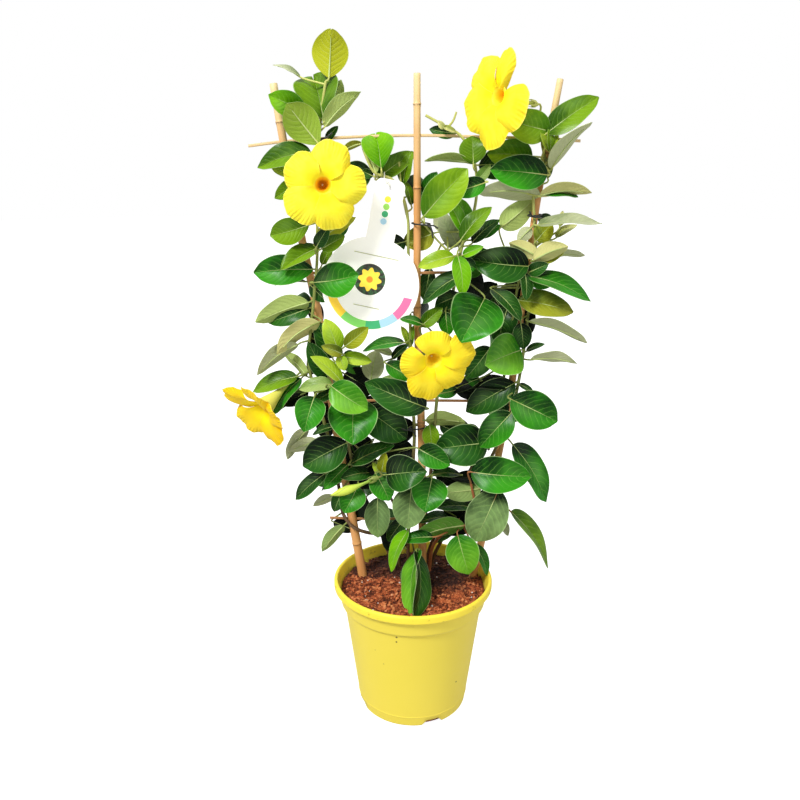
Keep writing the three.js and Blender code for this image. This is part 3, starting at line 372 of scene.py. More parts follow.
# Floor and lights: a plain white studio floor and backdrop, both overexposed to clean white as seen, under
# a white ceiling. A large lamp stands high on the viewer's left and a weaker one on the right.
FLOOR_RADIUS = 9000
FLOOR_SIDES = 96
FLOOR_SEEN = tint(243, 243, 243)
FLOOR_BOUNCE = tint(104, 104, 104)
CEILING_LIGHT = 0.75
ROOM_LIGHT = 0.17
BACKDROP_LIGHT = 0.3
KEY_PLACE = (-1.0, -1.3, 1.9)
KEY_POWER = 46
KEY_SIZE = 0.5
FILL_PLACE = (1.5, -1.1, 0.8)
FILL_POWER = 6
FILL_SIZE = 1.0
PLANT_MIDDLE = Vector((0, 0, 0.35))

floor_mesh = bpy.data.meshes.new("floor")
around = full_turn(FLOOR_SIDES)
rim = np.stack([np.cos(around), np.sin(around), np.zeros(FLOOR_SIDES)], axis=1) * FLOOR_RADIUS * MM
floor_mesh.from_pydata(rim.tolist(), [], [list(range(FLOOR_SIDES))])
floor = bpy.data.objects.new("floor", floor_mesh)
bpy.context.scene.collection.objects.link(floor)
floor_finish = Finish("floor_white", Roughness=0.9, Specular_IOR_Level=0.1, Emission_Strength=1.0)
paper = floor_finish.start.grain(60, detail=2)
looked_at = floor_finish.start.node("LightPath")
floor_finish.vary(Base_Color=paper.blend(tint(178, 178, 178), tint(184, 184, 184)))
floor_finish.vary(Emission_Color=looked_at.blend(FLOOR_BOUNCE, FLOOR_SEEN))
floor_mesh.materials.append(floor_finish.material)

world = bpy.data.worlds.new("white_room")
bpy.context.scene.world = world
world.use_nodes = True
room = Value(world.node_tree)
towards = room.node("TexCoord", output=0)
upward = towards.node("SeparateXYZ", {}, {0: towards}, output=2)
backward = towards.node("SeparateXYZ", {}, {0: towards}, output=1)
glow = upward.ease(-0.1, 0.9) * CEILING_LIGHT + backward.ease(0.3, 0.8) * BACKDROP_LIGHT + ROOM_LIGHT
glow = glow.math("MAXIMUM", room.node("LightPath"))
background = world.node_tree.nodes["Background"]
background.inputs["Color"].default_value = (1, 1, 1, 1)
world.node_tree.links.new(glow.socket, background.inputs["Strength"])
lamps = (("key", KEY_PLACE, KEY_POWER, KEY_SIZE), ("fill", FILL_PLACE, FILL_POWER, FILL_SIZE))
for name, place, power, size in lamps:
    lamp_data = bpy.data.lights.new(name, "AREA")
    lamp_data.energy = power
    lamp_data.size = size
    lamp = bpy.data.objects.new(name, lamp_data)
    lamp.location = place
    lamp.rotation_euler = (PLANT_MIDDLE - Vector(place)).to_track_quat("-Z", "Y").to_euler()
    bpy.context.scene.collection.objects.link(lamp)

# Pot: a thin round nursery pot of satin yellow polypropylene, injection moulded in one piece, with a
# rolled lip over a stepped band, a faint ring near the foot and four drain notches cut into its edge.
POT_SIDES = 144
WALL_FOOT = 58.4
WALL_SLOPE = 0.1305
WALL_THICK = 1.5
STEP_HEIGHT = 119
CORNER_ROUND = 1.6
FLOOR_THICK = 2.5
AXIS_HOLE = 0.5
NOTCHES = 4
NOTCH_TURN = 20.4
NOTCH_FOOT = 13.5
NOTCH_TOP = 6.5
NOTCH_TALL = 7
NOTCH_REACH = (49, 68)


def wall_radius(height):
    """The outer radius of the pot's sloping wall at a height."""
    return WALL_FOOT + WALL_SLOPE * height


def rounded(outline, radius, steps=4):
    """The outline with each corner between its ends turned into a small arc."""
    points = [np.asarray(point, float) for point in outline]
    softened = [points[0]]
    for before, corner, after in zip(points, points[1:], points[2:]):
        back = before - corner
        ahead = after - corner
        reach = min(radius, 0.45 * np.linalg.norm(back), 0.45 * np.linalg.norm(ahead))
        start = corner + unit(back) * reach
        end = corner + unit(ahead) * reach
        for w in np.linspace(0, 1, steps + 1):
            softened.append((1 - w) ** 2 * start + 2 * w * (1 - w) * corner + w * w * end)
    softened.append(points[-1])
    return softened


def turned(profile, sides):
    """Rings for a profile of radius and height turned about an upright axis."""
    angles = full_turn(sides)
    rings = [[(radius * math.cos(a), radius * math.sin(a), height) for a in angles]
             for radius, height in profile]
    return np.array(rings)


def cut(piece, cutter):
    """Takes the cutter's volume out of the piece and removes the cutter."""
    modifier = piece.modifiers.new("cut", "BOOLEAN")
    modifier.operation = "DIFFERENCE"
    modifier.solver = "EXACT"
    modifier.object = cutter
    graph = bpy.context.evaluated_depsgraph_get()
    finished = bpy.data.meshes.new_from_object(piece.evaluated_get(graph))
    piece.modifiers.clear()
    piece.data = finished
    bpy.data.objects.remove(cutter)


pot_outline = [
    (AXIS_HOLE, 0), (56.9, 0), (WALL_FOOT, 1.5), (wall_radius(11.2), 11.2), (wall_radius(12) + 0.45, 12),
    (wall_radius(12.8), 12.8), (wall_radius(STEP_HEIGHT), STEP_HEIGHT), (77.6, 121.5), (79.6, 137.1),
    (84, 138.6), (85, 139.8), (85, 146.1), (83.8, 147.6), (81.8, 147.6), (80.8, 146.4), (78.1, 136.6),
    (76.1, 121), (wall_radius(STEP_HEIGHT) - WALL_THICK, 117.5),
    (wall_radius(FLOOR_THICK) - WALL_THICK, FLOOR_THICK), (AXIS_HOLE, FLOOR_THICK),
]
pot_form = Form()
pot_form.loft(turned(rounded(pot_outline, CORNER_ROUND), POT_SIDES))
notch_form = Form()
for notch in range(NOTCHES):
    angle = math.radians(NOTCH_TURN - 90 + 360 / NOTCHES * notch)
    outward = np.array([math.cos(angle), math.sin(angle), 0])
    sideways = np.array([-math.sin(angle), math.cos(angle), 0])
    rings = []
    for reach in NOTCH_REACH:
        corners = ((-NOTCH_FOOT, -1), (NOTCH_FOOT, -1), (NOTCH_TOP, NOTCH_TALL), (-NOTCH_TOP, NOTCH_TALL))
        rings.append([outward * reach + sideways * x + np.array([0, 0, z]) for x, z in corners])
    notch_form.loft(rings)

pot_finish = Finish("pot_yellow_polypropylene", Specular_IOR_Level=0.3)
start = pot_finish.start
height = start.coordinate(2)
cloud = start.grain(9, detail=2)
body_shade = cloud.blend(tint(234, 214, 70), tint(240, 218, 84))
# Painted highlight: the rolled lip, which faces up to the light, is painted a brighter yellow than the wall.
lip_painted_highlight = height.ease(0.1365, 0.1395).blend(body_shade, tint(248, 224, 66))
speck = start.spots(62)
sparse = start.grain(35, detail=0).ease(0.6, 0.66)
dirt = speck.ease(0.085, 0.05) * sparse
smudge = height.ease(0.128, 0.146) * start.grain(160, detail=4).ease(0.6, 0.72) * 0.45
soiled = (dirt.math("MAXIMUM", smudge)).blend(lip_painted_highlight, tint(96, 84, 30))
pot_finish.vary(Base_Color=soiled, Roughness=start.grain(220, detail=4) * 0.16 + 0.38)
pot_finish.relief(start.grain(650, detail=2), 0.05)
pot_piece = pot_form.make("pot_shell", [pot_finish.material], "pot_plastic", ["pot"], sharp=40)
cut(pot_piece, notch_form.make("notches", [], "pot_plastic"))

# Soil: damp peat and bark potting mix, red-brown and fibrous, with painted shade round the stems and at the
# back.
# Filled in by hand, so its top is lumpy, with loose crumbs, bark chips, fibres and white perlite on it.
SOIL_HEIGHT = 138
SOIL_RINGS = 58
SOIL_SIDES = 232
SOIL_TOP = ((0, 138), (58, 137), (72, 136), (77, 134.5))
SOIL_SIDE = ((75.6, 122), (72.3, 117), (wall_radius(FLOOR_THICK) - 2.4, 2.85))
SOIL_SEED = 11
SOIL_REACH = 76
LUMP_SIZE = 7
LUMP_HEIGHT = 1.9
GRIT_SIZE = 1.7
GRIT_HEIGHT = 0.9
CRUMBS = 1500
CRUMB_SIZE = (0.5, 2.2)
CRUMB_SIDES = 6
CHIPS = 260
CHIP_LENGTH = (1.5, 5)
CHIP_WIDTH = (0.7, 2)
CHIP_THICK = 0.7
CHIP_INSET = 3
FIBRES = 170
FIBRE_LENGTH = (4, 11)
FIBRE_CURL = 1.2
FIBRE_RADIUS = 0.22
FIBRE_INSET = 5
PERLITE = 34
PERLITE_SIZE = (0.7, 1.5)
PERLITE_INSET = 6
PAINTED_SHADE_MIDDLE = (0.028, 0.012, 0.138)
PAINTED_SHADE_MIDDLE_REACH = (0.046, 0.02)
PAINTED_SHADE_BACK = (-0.012, 0.05, 0.138)
PAINTED_SHADE_BACK_REACH = (0.05, 0.025)
PAINTED_SHADE_FROM = (0.004, 0.024)
soil_draw = np.random.default_rng(SOIL_SEED)


def soil_level(x, y):
    """The height of the soil's top at a place: a slow swell with lumps and grit on it."""
    radius = math.hypot(x, y)
    level = np.interp(radius, [place for place, _ in SOIL_TOP], [level for _, level in SOIL_TOP])
    level += 1.1 * math.sin(0.21 * x + 1) * math.cos(0.17 * y) + 0.8 * math.sin(0.13 * x - 0.29 * y + 2)
    level += LUMP_HEIGHT * noise.fractal(Vector((x, y, 0)) / LUMP_SIZE, 0.8, 2.1, 4)
    return level + GRIT_HEIGHT * noise.noise(Vector((x, y, 30)) / GRIT_SIZE)


def shell(form, surface, thickness, slot=0, marks=None):
    """A thin closed sheet over a grid of points. Its upper face looks along rows crossed with columns."""
    surface = np.asarray(surface, float)
    rows, columns = surface.shape[:2]
    normal = np.cross(np.gradient(surface, axis=0), np.gradient(surface, axis=1))
    normal /= np.maximum(np.linalg.norm(normal, axis=2, keepdims=True), 1e-9)
    lift = normal * np.asarray(thickness).reshape(-1, 1, 1) / 2
    grid = np.arange(rows * columns).reshape(rows, columns)
    quads = np.stack([grid[:-1, :-1], grid[1:, :-1], grid[1:, 1:], grid[:-1, 1:]], axis=-1).reshape(-1, 4)
    below = rows * columns
    edge = np.concatenate([grid[:, 0], grid[-1, 1:], grid[-2::-1, -1], grid[0, -2:0:-1]])
    ahead = np.roll(edge, -1)
    rim = np.stack([ahead, edge, edge + below, ahead + below], axis=1)
    faces = quads.tolist() + (quads[:, ::-1] + below).tolist() + rim.tolist()
    corners = np.concatenate([(surface + lift).reshape(-1, 3), (surface - lift).reshape(-1, 3)])
    doubled = {"upper": np.repeat([1.0, 0.0], below)}
    for name, value in (marks or {}).items():
        doubled[name] = np.tile(np.broadcast_to(value, (rows, columns)).ravel(), 2)
    form.add(corners, faces, slot, doubled)


def lump(form, middle, size, slot=0, marks=None):
    """A rough crumb: a squashed six-sided bead with its corners pushed in and out."""
    turn = soil_draw.uniform(0, 2 * math.pi)
    rings = []
    for share, width in ((-0.75, 0.55), (0, 1), (0.7, 0.6)):
        angles = turn + full_turn(CRUMB_SIDES)
        radius = width * soil_draw.uniform(0.7, 1.15, CRUMB_SIDES)
        level = np.full(CRUMB_SIDES, share * 0.7)
        rings.append(np.stack([radius * np.cos(angles), radius * np.sin(angles), level], axis=1))
    form.loft(np.array(rings) * size + middle, slot, marks)


soil_form = Form()
rings = []
for radius, height in reversed(SOIL_SIDE):
    rings.append(turned([(radius, height)], SOIL_SIDES)[0])
for radius in np.linspace(SOIL_TOP[-1][0], AXIS_HOLE, SOIL_RINGS):
    ring = turned([(radius, 0)], SOIL_SIDES)[0]
    ring[:, 2] = [soil_level(x, y) for x, y in ring[:, :2]]
    rings.append(ring)
soil_form.loft(rings)


def on_soil(inset):
    """A random place on the soil's top, at least this far in from its rim."""
    radius = (SOIL_REACH - inset) * math.sqrt(soil_draw.uniform())
    angle = soil_draw.uniform(0, 2 * math.pi)
    x = radius * math.cos(angle)
    y = radius * math.sin(angle)
    return np.array([x, y, soil_level(x, y)])


for index in range(CRUMBS):
    size = CRUMB_SIZE[0] + (CRUMB_SIZE[1] - CRUMB_SIZE[0]) * soil_draw.uniform() ** 3
    lump(soil_form, on_soil(size) + (0, 0, 0.25 * size), size, 0, {"draw": soil_draw.uniform()})
for index in range(CHIPS):
    place = on_soil(CHIP_INSET)
    heading = soil_draw.uniform(0, 2 * math.pi)
    along = np.array([math.cos(heading), math.sin(heading), soil_draw.uniform(-0.3, 0.3)])
    aside = np.array([-math.sin(heading), math.cos(heading), soil_draw.uniform(-0.4, 0.4)])
    length = soil_draw.uniform(*CHIP_LENGTH)
    width = soil_draw.uniform(*CHIP_WIDTH)
    chip = [[place + along * length * (row - 1.5) / 1.5 * 0.5 + aside * width * column * (1 - 0.12 * row)
             + (0, 0, 0.9 + 0.3 * math.sin(row + column)) for column in (-1, 0, 1)] for row in range(4)]
    shell(soil_form, chip, CHIP_THICK, 0, {"draw": soil_draw.uniform(0.4, 1)})
for index in range(FIBRES):
    place = on_soil(FIBRE_INSET)
    heading = soil_draw.uniform(0, 2 * math.pi)
    length = soil_draw.uniform(*FIBRE_LENGTH)
    curl = soil_draw.uniform(-FIBRE_CURL, FIBRE_CURL)
    line = []
    for w in np.linspace(-0.5, 0.5, 7):
        bend = heading + curl * w
        line.append(place + (length * w * math.cos(bend), length * w * math.sin(bend), 0.9 - 3 * w * w))
    soil_form.loft(swept(line, FIBRE_RADIUS, 5), 0, {"draw": soil_draw.uniform()})
for index in range(PERLITE):
    size = soil_draw.uniform(*PERLITE_SIZE)
    lump(soil_form, on_soil(PERLITE_INSET) + (0, 0, 0.5 * size), size, 1, {"draw": soil_draw.uniform()})

peat_finish = Finish("peat_and_bark", Specular_IOR_Level=0.25)
start = peat_finish.start
draw = start.mark("draw")
fine = start.grain(420, detail=5, roughness=0.7)
coarse = start.grain(95, detail=3)
mixture = fine * 0.6 + coarse * 0.36 + draw * 0.2
browns = mixture.node("ValToRGB", {"stops": [
    (0.36, tint(18, 8, 6)), (0.46, tint(104, 48, 26)), (0.56, tint(186, 96, 54)),
    (0.68, tint(212, 130, 80)), (0.82, tint(240, 182, 134)),
]}, {0: mixture})
here = start.place()
distance = {"operation": "DISTANCE"}
# Painted shade: the mix darkens almost to black round the middle stems and towards the back of the soil.
painted_shade_middle = start.node("VectorMath", distance, {0: here, 1: PAINTED_SHADE_MIDDLE}, output=1)
back_middle = start.node("VectorMath", distance, {0: here, 1: PAINTED_SHADE_BACK}, output=1)
wobble = (start.grain(45, detail=3) - 0.5) * 0.05
painted_shade = (back_middle + wobble).ease(*PAINTED_SHADE_BACK_REACH)
painted_shade = (painted_shade_middle + wobble).ease(*PAINTED_SHADE_MIDDLE_REACH).math("MAXIMUM", painted_shade)
depth = start.coordinate(1)
painted_shade = painted_shade.math("MAXIMUM", (depth + wobble * 0.8).ease(*PAINTED_SHADE_FROM) * 0.9)
browns_in_painted_shade = (painted_shade * 0.88).blend(browns, tint(20, 15, 16))
peat_finish.vary(Base_Color=browns_in_painted_shade, Roughness=0.95 - fine * 0.2)
peat_finish.relief(fine, 1.1)
perlite_finish = Finish("perlite_white", Roughness=0.9)
pores = perlite_finish.start.grain(1500, detail=3)
perlite_finish.vary(Base_Color=pores.blend(tint(196, 182, 172), tint(246, 240, 232)))
perlite_finish.relief(pores, 0.3)
soil_form.make("soil_filling", [peat_finish.material, perlite_finish.material], "soil", ["soil"], sharp=50)

# Canes: three bamboo canes pushed into the soil to form a fan, bought dry and waxy. They are cream at
# their tops and orange-tan below, with a raised ring and a dark scar at each node.
CANE_SIDES = 22
CANE_POINT = 2.6
CANE_FOOT = 70
CANE_STEP = 6.0
BOW_STEP = 2.0
TOP_BEVEL = 0.35
NODE_STEPS = (-3, -1.6, -0.9, -0.5, 0, 0.5, 1.0, 2.0)
NODE_SWELL = 0.6
NODE_SHOULDER = 0.22
SCAR_DEPTH = 0.3
SCAR_BELOW = 0.7
CANES = {
    "cane_left": {
        "bow": ((-46, 60), (-55.5, 137), (-67, 214), (-81, 310), (-97.3, 434), (-110, 502), (-124.5, 594),
                (-132, 647)),
        "nodes": (176, 292, 405, 520, 612), "top": 646, "radii": (4.9, 3.7),
    },
    "cane_centre": {
        "bow": ((12, 60), (11, 137), (9.6, 250), (7.4, 340), (3.4, 424), (2.8, 515), (1.8, 656)),
        "nodes": (190, 316, 437, 552, 628), "top": 655, "radii": (4.4, 3.3),
    },
    "cane_right": {
        "bow": ((54, 60), (67, 137), (75.5, 180), (91.6, 287), (99, 335), (108, 430), (118.6, 538),
                (127.5, 600), (135, 650)),
        "nodes": (158, 262, 372, 478, 585), "top": 650, "radii": (4.2, 3.1),
    },
}


def bow_at(bow, height):
    """Where a cane's line stands across the trellis at a height, on a smooth curve through its points."""
    return np.interp(height, cane_lines[bow][:, 2], cane_lines[bow][:, 0])


cane_lines = {}
bamboo_finish = Finish("bamboo_skin", Specular_IOR_Level=0.4)
start = bamboo_finish.start
height = start.coordinate(2)
streaks = start.grain(260, detail=3, stretch=(1, 1, 0.06))
patches = start.grain(34, detail=2, stretch=(1, 1, 0.4))
mottled = streaks * 0.6 + patches * 0.4
tan = mottled.blend(tint(196, 128, 68), tint(240, 186, 118))
cream = mottled.blend(tint(222, 188, 128), tint(250, 228, 176))
skin = (height + (patches - 0.5) * 0.12).ease(0.55, 0.66).blend(tan, cream)
scar = start.mark("node") * start.grain(500, detail=2).ease(0.3, 0.55)
scarred = (scar * 0.75).blend(skin, tint(92, 58, 30))
freckle = start.spots(210).ease(0.12, 0.06)
freckled = (freckle * start.grain(60, detail=0).ease(0.55, 0.65) * 0.6).blend(scarred, tint(80, 50, 26))
sawn = start.mark("sawn").blend(freckled, tint(214, 186, 136))
bamboo_finish.vary(Base_Color=sawn, Roughness=start.grain(300, detail=3) * 0.2 + 0.38)
bamboo_finish.relief(streaks, 0.18)

for name, cane in CANES.items():
    line = smooth_line([(x, TRELLIS_Y, z) for x, z in cane["bow"]], BOW_STEP)
    cane_lines[name] = line
    foot_radius, top_radius = cane["radii"]
    stops = np.unique(np.concatenate([
        np.arange(CANE_FOOT, cane["top"], CANE_STEP),
        [node + step for node in cane["nodes"] for step in NODE_STEPS],
        [cane["top"] - 0.5, cane["top"]],
    ]))
    places = []
    radii = []
    ringed = []
    for z in stops:
        risen = max(0, z - SOIL_HEIGHT) / (cane["top"] - SOIL_HEIGHT)
        taper = foot_radius + (top_radius - foot_radius) * risen
        sharpened = min(1, (z - CANE_FOOT) / (SOIL_HEIGHT - CANE_FOOT))
        point = CANE_POINT + (foot_radius - CANE_POINT) * sharpened
        bulge = 0
        dark = 0
        for node in cane["nodes"]:
            away = z - node
            if NODE_STEPS[0] <= away <= NODE_STEPS[-1]:
                bulge = NODE_SWELL * math.exp(-(away / 1.1) ** 2)
                bulge += NODE_SHOULDER * math.exp(-((away + 1.6) / 0.9) ** 2)
                bulge -= SCAR_DEPTH * math.exp(-((away + SCAR_BELOW) / 0.3) ** 2)
                dark = math.exp(-((away + SCAR_BELOW) / 0.8) ** 2)
        places.append((bow_at(name, z), TRELLIS_Y, z))
        radii.append(min(taper, point) + bulge - (TOP_BEVEL if z == cane["top"] else 0))
        ringed.append(dark)
    rings = swept(places, radii, CANE_SIDES)
    form = Form()
    form.loft(rings, 0, {"node": np.array(ringed), "sawn": (stops == cane["top"]).astype(float)})
    form.make(name + "_bamboo", [bamboo_finish.material], "bamboo", [name], sharp=50)

# Crossbars: four thin strips split from bamboo, each passed through the three canes. They have rounded
# edges, are browner than the canes, and are left rough where they were split.
BAR_SIDES = 12
BAR_HALF_TALL = 1.4
BAR_HALF_THICK = 0.85
BAR_STEP = 4.0
BAR_SQUARENESS = 3
BAR_WEAR = 0.06
CROSSBARS = {
    "crossbar_top": ((-158, 590.5), (-124, 594.5), (-60, 598.5), (3, 600), (70, 598.5), (127, 597),
                     (157, 595)),
    "crossbar_upper": ((-122, 471), (-60, 469.5), (4, 470.5), (60, 471), (126, 470)),
    "crossbar_middle": ((-96, 337), (-40, 338.5), (7.5, 338.5), (60, 338), (110, 336)),
    "crossbar_lower": ((-90, 206), (-40, 204.5), (10, 205), (92, 203)),
}
strip_finish = Finish("split_bamboo", Specular_IOR_Level=0.3)
start = strip_finish.start
grain = start.grain(420, detail=4, stretch=(0.05, 1, 1))
stain = start.grain(40, detail=2, stretch=(0.5, 1, 1))
height = start.coordinate(2)
mottled = grain * 0.6 + stain * 0.4
brown = mottled.blend(tint(140, 88, 48), tint(214, 158, 106))
fair = mottled.blend(tint(204, 162, 108), tint(246, 222, 170))
strip_shade = height.ease(0.5, 0.58).blend(brown, fair)
strip_finish.vary(Base_Color=strip_shade, Roughness=grain * 0.2 + 0.5)
strip_finish.relief(grain, 0.3)
for name, route in CROSSBARS.items():
    line = smooth_line([(x, TRELLIS_Y, z) for x, z in route], BAR_STEP)
    rings = swept(line, 1, BAR_SIDES)
    middles = line[:, None, :]
    angles = full_turn(BAR_SIDES)
    corners = np.abs(np.cos(angles)) ** BAR_SQUARENESS + np.abs(np.sin(angles)) ** BAR_SQUARENESS
    boxy = 1 / corners ** (1 / BAR_SQUARENESS)
    wear = 1 + BAR_WEAR * np.array([noise.noise(Vector(place) / 9) for place in line])
    rings = middles + (rings - middles) * boxy[None, :, None] * wear[:, None, None]
    rings[:, :, 1] = TRELLIS_Y + (rings[:, :, 1] - TRELLIS_Y) * BAR_HALF_THICK
    rings[:, :, 2] = middles[:, :, 2] + (rings[:, :, 2] - middles[:, :, 2]) * BAR_HALF_TALL
    form = Form()
    form.loft(rings)
    form.make(name + "_strip", [strip_finish.material], "bamboo", [name], sharp=60)

# Ties: soft black plastic-coated wire, wound once round a cane and the stem it holds, twisted together in
# front and cut off with two short tails. One more holds the top crossbar to the left stem.
TIE_RADIUS = 0.8
TIE_HALF_WIDTH = 6.6
TIE_PAST = 5.6
TIE_SIDES = 9
TIE_LOOP_PLACES = 49
TIE_PITCH = 0.9
TIES = {
    "tie_centre_high": ("cane_centre", 518, (10, 517, 8), ((9, 5, -3), (4, 6, -12))),
    "tie_centre_low": ("cane_centre", 309, (1, 308, 3), ((-8, 6, 3), (7, 7, -6))),
    "tie_right_high": ("cane_right", 526, (117, 523, 9), ((-6, 7, 5), (9, 6, -4))),
    "tie_right_middle": ("cane_right", 475, (119, 474, 5), ((-9, 6, 2), (-5, 7, -8))),
    "tie_right_low": ("cane_right", 343, (106, 343, 6), ((-9, 5, 4), (6, 7, -6))),
}
BAR_TIE_PLACE = (-90.5, 596.8, 3)
BAR_TIE_HALVES = (6.8, 5.5)
BAR_TIE_TAILS = ((13, 3, 5), (-8, 5, 2))
tie_finish = Finish("tie_black_plastic", Specular_IOR_Level=0.5)
start = tie_finish.start
scuff = start.grain(900, detail=3)
tie_finish.vary(Base_Color=scuff.blend(tint(12, 13, 12), tint(46, 48, 44)), Roughness=scuff * 0.3 + 0.35)
tie_finish.relief(scuff, 0.12)


def tie_form(middle, towards, across, halves, tails, forward):
    """A wire loop in the plane of two directions, twisted in front into two tails."""
    form = Form()
    front = middle + towards * halves[0]
    loop = []
    for a in np.linspace(0, 2 * math.pi, TIE_LOOP_PLACES):
        rise = TIE_PITCH * math.sin(a / 2 + 0.4)
        loop.append(middle + towards * halves[0] * math.cos(a) + across * halves[1] * math.sin(a)
                    + np.array([0, 0, rise]))
    form.loft(swept(loop, TIE_RADIUS, TIE_SIDES))
    for side, (x, ahead, z) in zip((-1, 1), tails):
        start = front - forward * 0.6 + np.array([side * 0.9, 0, 0.9])
        crossing = front + forward * 1.6 + np.array([-side * 0.9, 0, -0.4])
        bend = front + forward * (1.2 + 0.5 * ahead) + np.array([0.55 * x, 0, 0.2 * z])
        end = front + forward * ahead + np.array([x, 0, z])
        form.loft(swept(smooth_line([start, crossing, bend, end], 0.7), TIE_RADIUS, TIE_SIDES))
    return form


forward = np.array([0.0, -1.0, 0.0])
for name, (cane, height, held, tails) in TIES.items():
    post = np.array([bow_at(cane, height), TRELLIS_Y, height])
    stem = seen(*held)
    stem[2] = height
    gap = np.linalg.norm(stem - post)
    towards = (stem - post) / gap
    across = np.cross((0, 0, 1), towards)
    halves = (gap / 2 + TIE_PAST, TIE_HALF_WIDTH)
    form = tie_form((stem + post) / 2, towards, across, halves, tails, forward)
    form.make(name + "_wire", [tie_finish.material], "tie_plastic", [name])
form = tie_form(seen(*BAR_TIE_PLACE), forward, unit(np.array([1.0, 0, -1.0])), BAR_TIE_HALVES,
                BAR_TIE_TAILS, forward)
form.make("tie_bar_left_wire", [tie_finish.material], "tie_plastic", ["tie_bar_left"])

# Label: a round hang tag with a long neck, die cut from white coated card and printed in colour on its
# front. It hangs by the elastic thread. The print is a sunny flower with bands and dots of plain colour.
LABEL_RADIUS = 48
LABEL_NECK_HALF = 14
LABEL_NECK_TOP = 103
LABEL_CORNER = 6
LABEL_HOLE_RADIUS = 2.5
LABEL_ARC_STEPS = 72
LABEL_CORNER_STEPS = 7
LABEL_HOLE_SIDES = 24
LABEL_CURL = 1.1
LABEL_GLOW = 0.3
BAND_INNER = (34.6, 35)
BAND_OUTER = (43.4, 43)
BAND_TOP = (-4, -4.5)
PICTURE_PLACE = (-2.0, 6.0)
PICTURE_RADIUS = 15.5
SUN_RAYS = 8
SUN_RADIUS = 10.2
RAY_SWING = 1.6
SUN_MIDDLE = (3.4, 2.9)
DOTS_FOOT = 60
DOT_SPACING = 7
DOTS = 4
DOT_RIM = (3.3, 2.9)
RULE_RIM = (0.75, 0.55)
LOW_RULE = (21, 13)
HIGH_RULE = (30, 22)
PRINT_SOFT = 0.1

card_outline = []
neck_meets = math.asin(LABEL_NECK_HALF / LABEL_RADIUS)
for a in np.linspace(math.pi / 2 - neck_meets, -1.5 * math.pi + neck_meets, LABEL_ARC_STEPS):
    card_outline.append((LABEL_RADIUS * math.cos(a), LABEL_RADIUS * math.sin(a)))
for side, first, last in ((-1, math.pi, math.pi / 2), (1, math.pi / 2, 0)):
    for a in np.linspace(first, last, LABEL_CORNER_STEPS):
        card_outline.append((side * (LABEL_NECK_HALF - LABEL_CORNER) + LABEL_CORNER * math.cos(a),
                             LABEL_NECK_TOP - LABEL_CORNER + LABEL_CORNER * math.sin(a)))
hole_outline = [(LABEL_HOLE_RADIUS * math.cos(a), LABEL_HOLE_UP + LABEL_HOLE_RADIUS * math.sin(a))
                for a in full_turn(LABEL_HOLE_SIDES)]


def card_place(x, up, depth):
    """A place on the card, turned about its middle, with a slight backward curl towards its rim."""
    curl = LABEL_CURL * ((x / LABEL_RADIUS) ** 2 - 0.3 * max(0, -up) / LABEL_RADIUS)
    turned_x = x * math.cos(LABEL_TURN) + up * math.sin(LABEL_TURN)
    turned_up = up * math.cos(LABEL_TURN) - x * math.sin(LABEL_TURN)
    return LABEL_MIDDLE + np.array([turned_x, depth + curl, turned_up])


label_outline = bpy.data.curves.new("card", "CURVE")
label_outline.dimensions = "2D"
label_outline.fill_mode = "BOTH"
label_outline.extrude = LABEL_THICK / 2 * MM
for ring in (card_outline, hole_outline):
    spline = label_outline.splines.new("POLY")
    spline.points.add(len(ring) - 1)
    spline.use_cyclic_u = True
    for point, (x, up) in zip(spline.points, ring):
        point.co = (x * MM, up * MM, 0, 1)
outline_object = bpy.data.objects.new("card", label_outline)
bpy.context.scene.collection.objects.link(outline_object)
graph = bpy.context.evaluated_depsgraph_get()
flat_card = bpy.data.meshes.new_from_object(outline_object.evaluated_get(graph))
bpy.data.objects.remove(outline_object)
flat = np.array([vertex.co for vertex in flat_card.vertices]) / MM
card_faces = [list(face.vertices) for face in flat_card.polygons]
bpy.data.meshes.remove(flat_card)
label_form = Form()
label_form.add([card_place(x, up, -depth - LABEL_THICK / 2) for x, up, depth in flat], card_faces, 0,
               {"card_x": flat[:, 0], "card_up": flat[:, 1], "front": (flat[:, 2] > 0).astype(float)})

label_finish = Finish("printed_card", Specular_IOR_Level=0.45, Emission_Strength=LABEL_GLOW)
start = label_finish.start
x = start.mark("card_x")
up = start.mark("card_up")
radius = (x * x + up * up) ** 0.5
paper = start.grain(140, detail=2)
print_shade = paper.blend(tint(244, 243, 232), tint(250, 249, 242))
low_band = radius.ease(*BAND_INNER) * radius.ease(*BAND_OUTER) * up.ease(*BAND_TOP)
turn_share = up.math("ARCTAN2", x) / math.pi
arcs = turn_share.node("ValToRGB", {"steps": "CONSTANT", "stops": [
    (0.0, tint(250, 206, 60)), (0.32, tint(122, 200, 96)), (0.52, tint(64, 168, 110)),
    (0.64, tint(164, 204, 220)), (0.78, tint(246, 112, 160)),
]}, {0: turn_share + 1})
print_shade = low_band.blend(print_shade, arcs)
picture_x = x - PICTURE_PLACE[0]
picture_up = up - PICTURE_PLACE[1]
picture_radius = (picture_x * picture_x + picture_up * picture_up) ** 0.5
inside = picture_radius.ease(PICTURE_RADIUS + 0.25, PICTURE_RADIUS - 0.25)
foliage = start.grain(330, detail=3).ease(0.4, 0.62).blend(tint(50, 46, 42), tint(54, 96, 58))
print_shade = inside.blend(print_shade, foliage)
ray_angle = picture_up.math("ARCTAN2", picture_x)
ray = (ray_angle * SUN_RAYS).math("COSINE") * RAY_SWING + SUN_RADIUS
sun = picture_radius.math("SUBTRACT", ray).ease(0.35, -0.35)
print_shade = sun.blend(print_shade, tint(250, 214, 70))
print_shade = picture_radius.ease(*SUN_MIDDLE).blend(print_shade, tint(238, 132, 40))
neck_row = (up - DOTS_FOOT) / DOT_SPACING
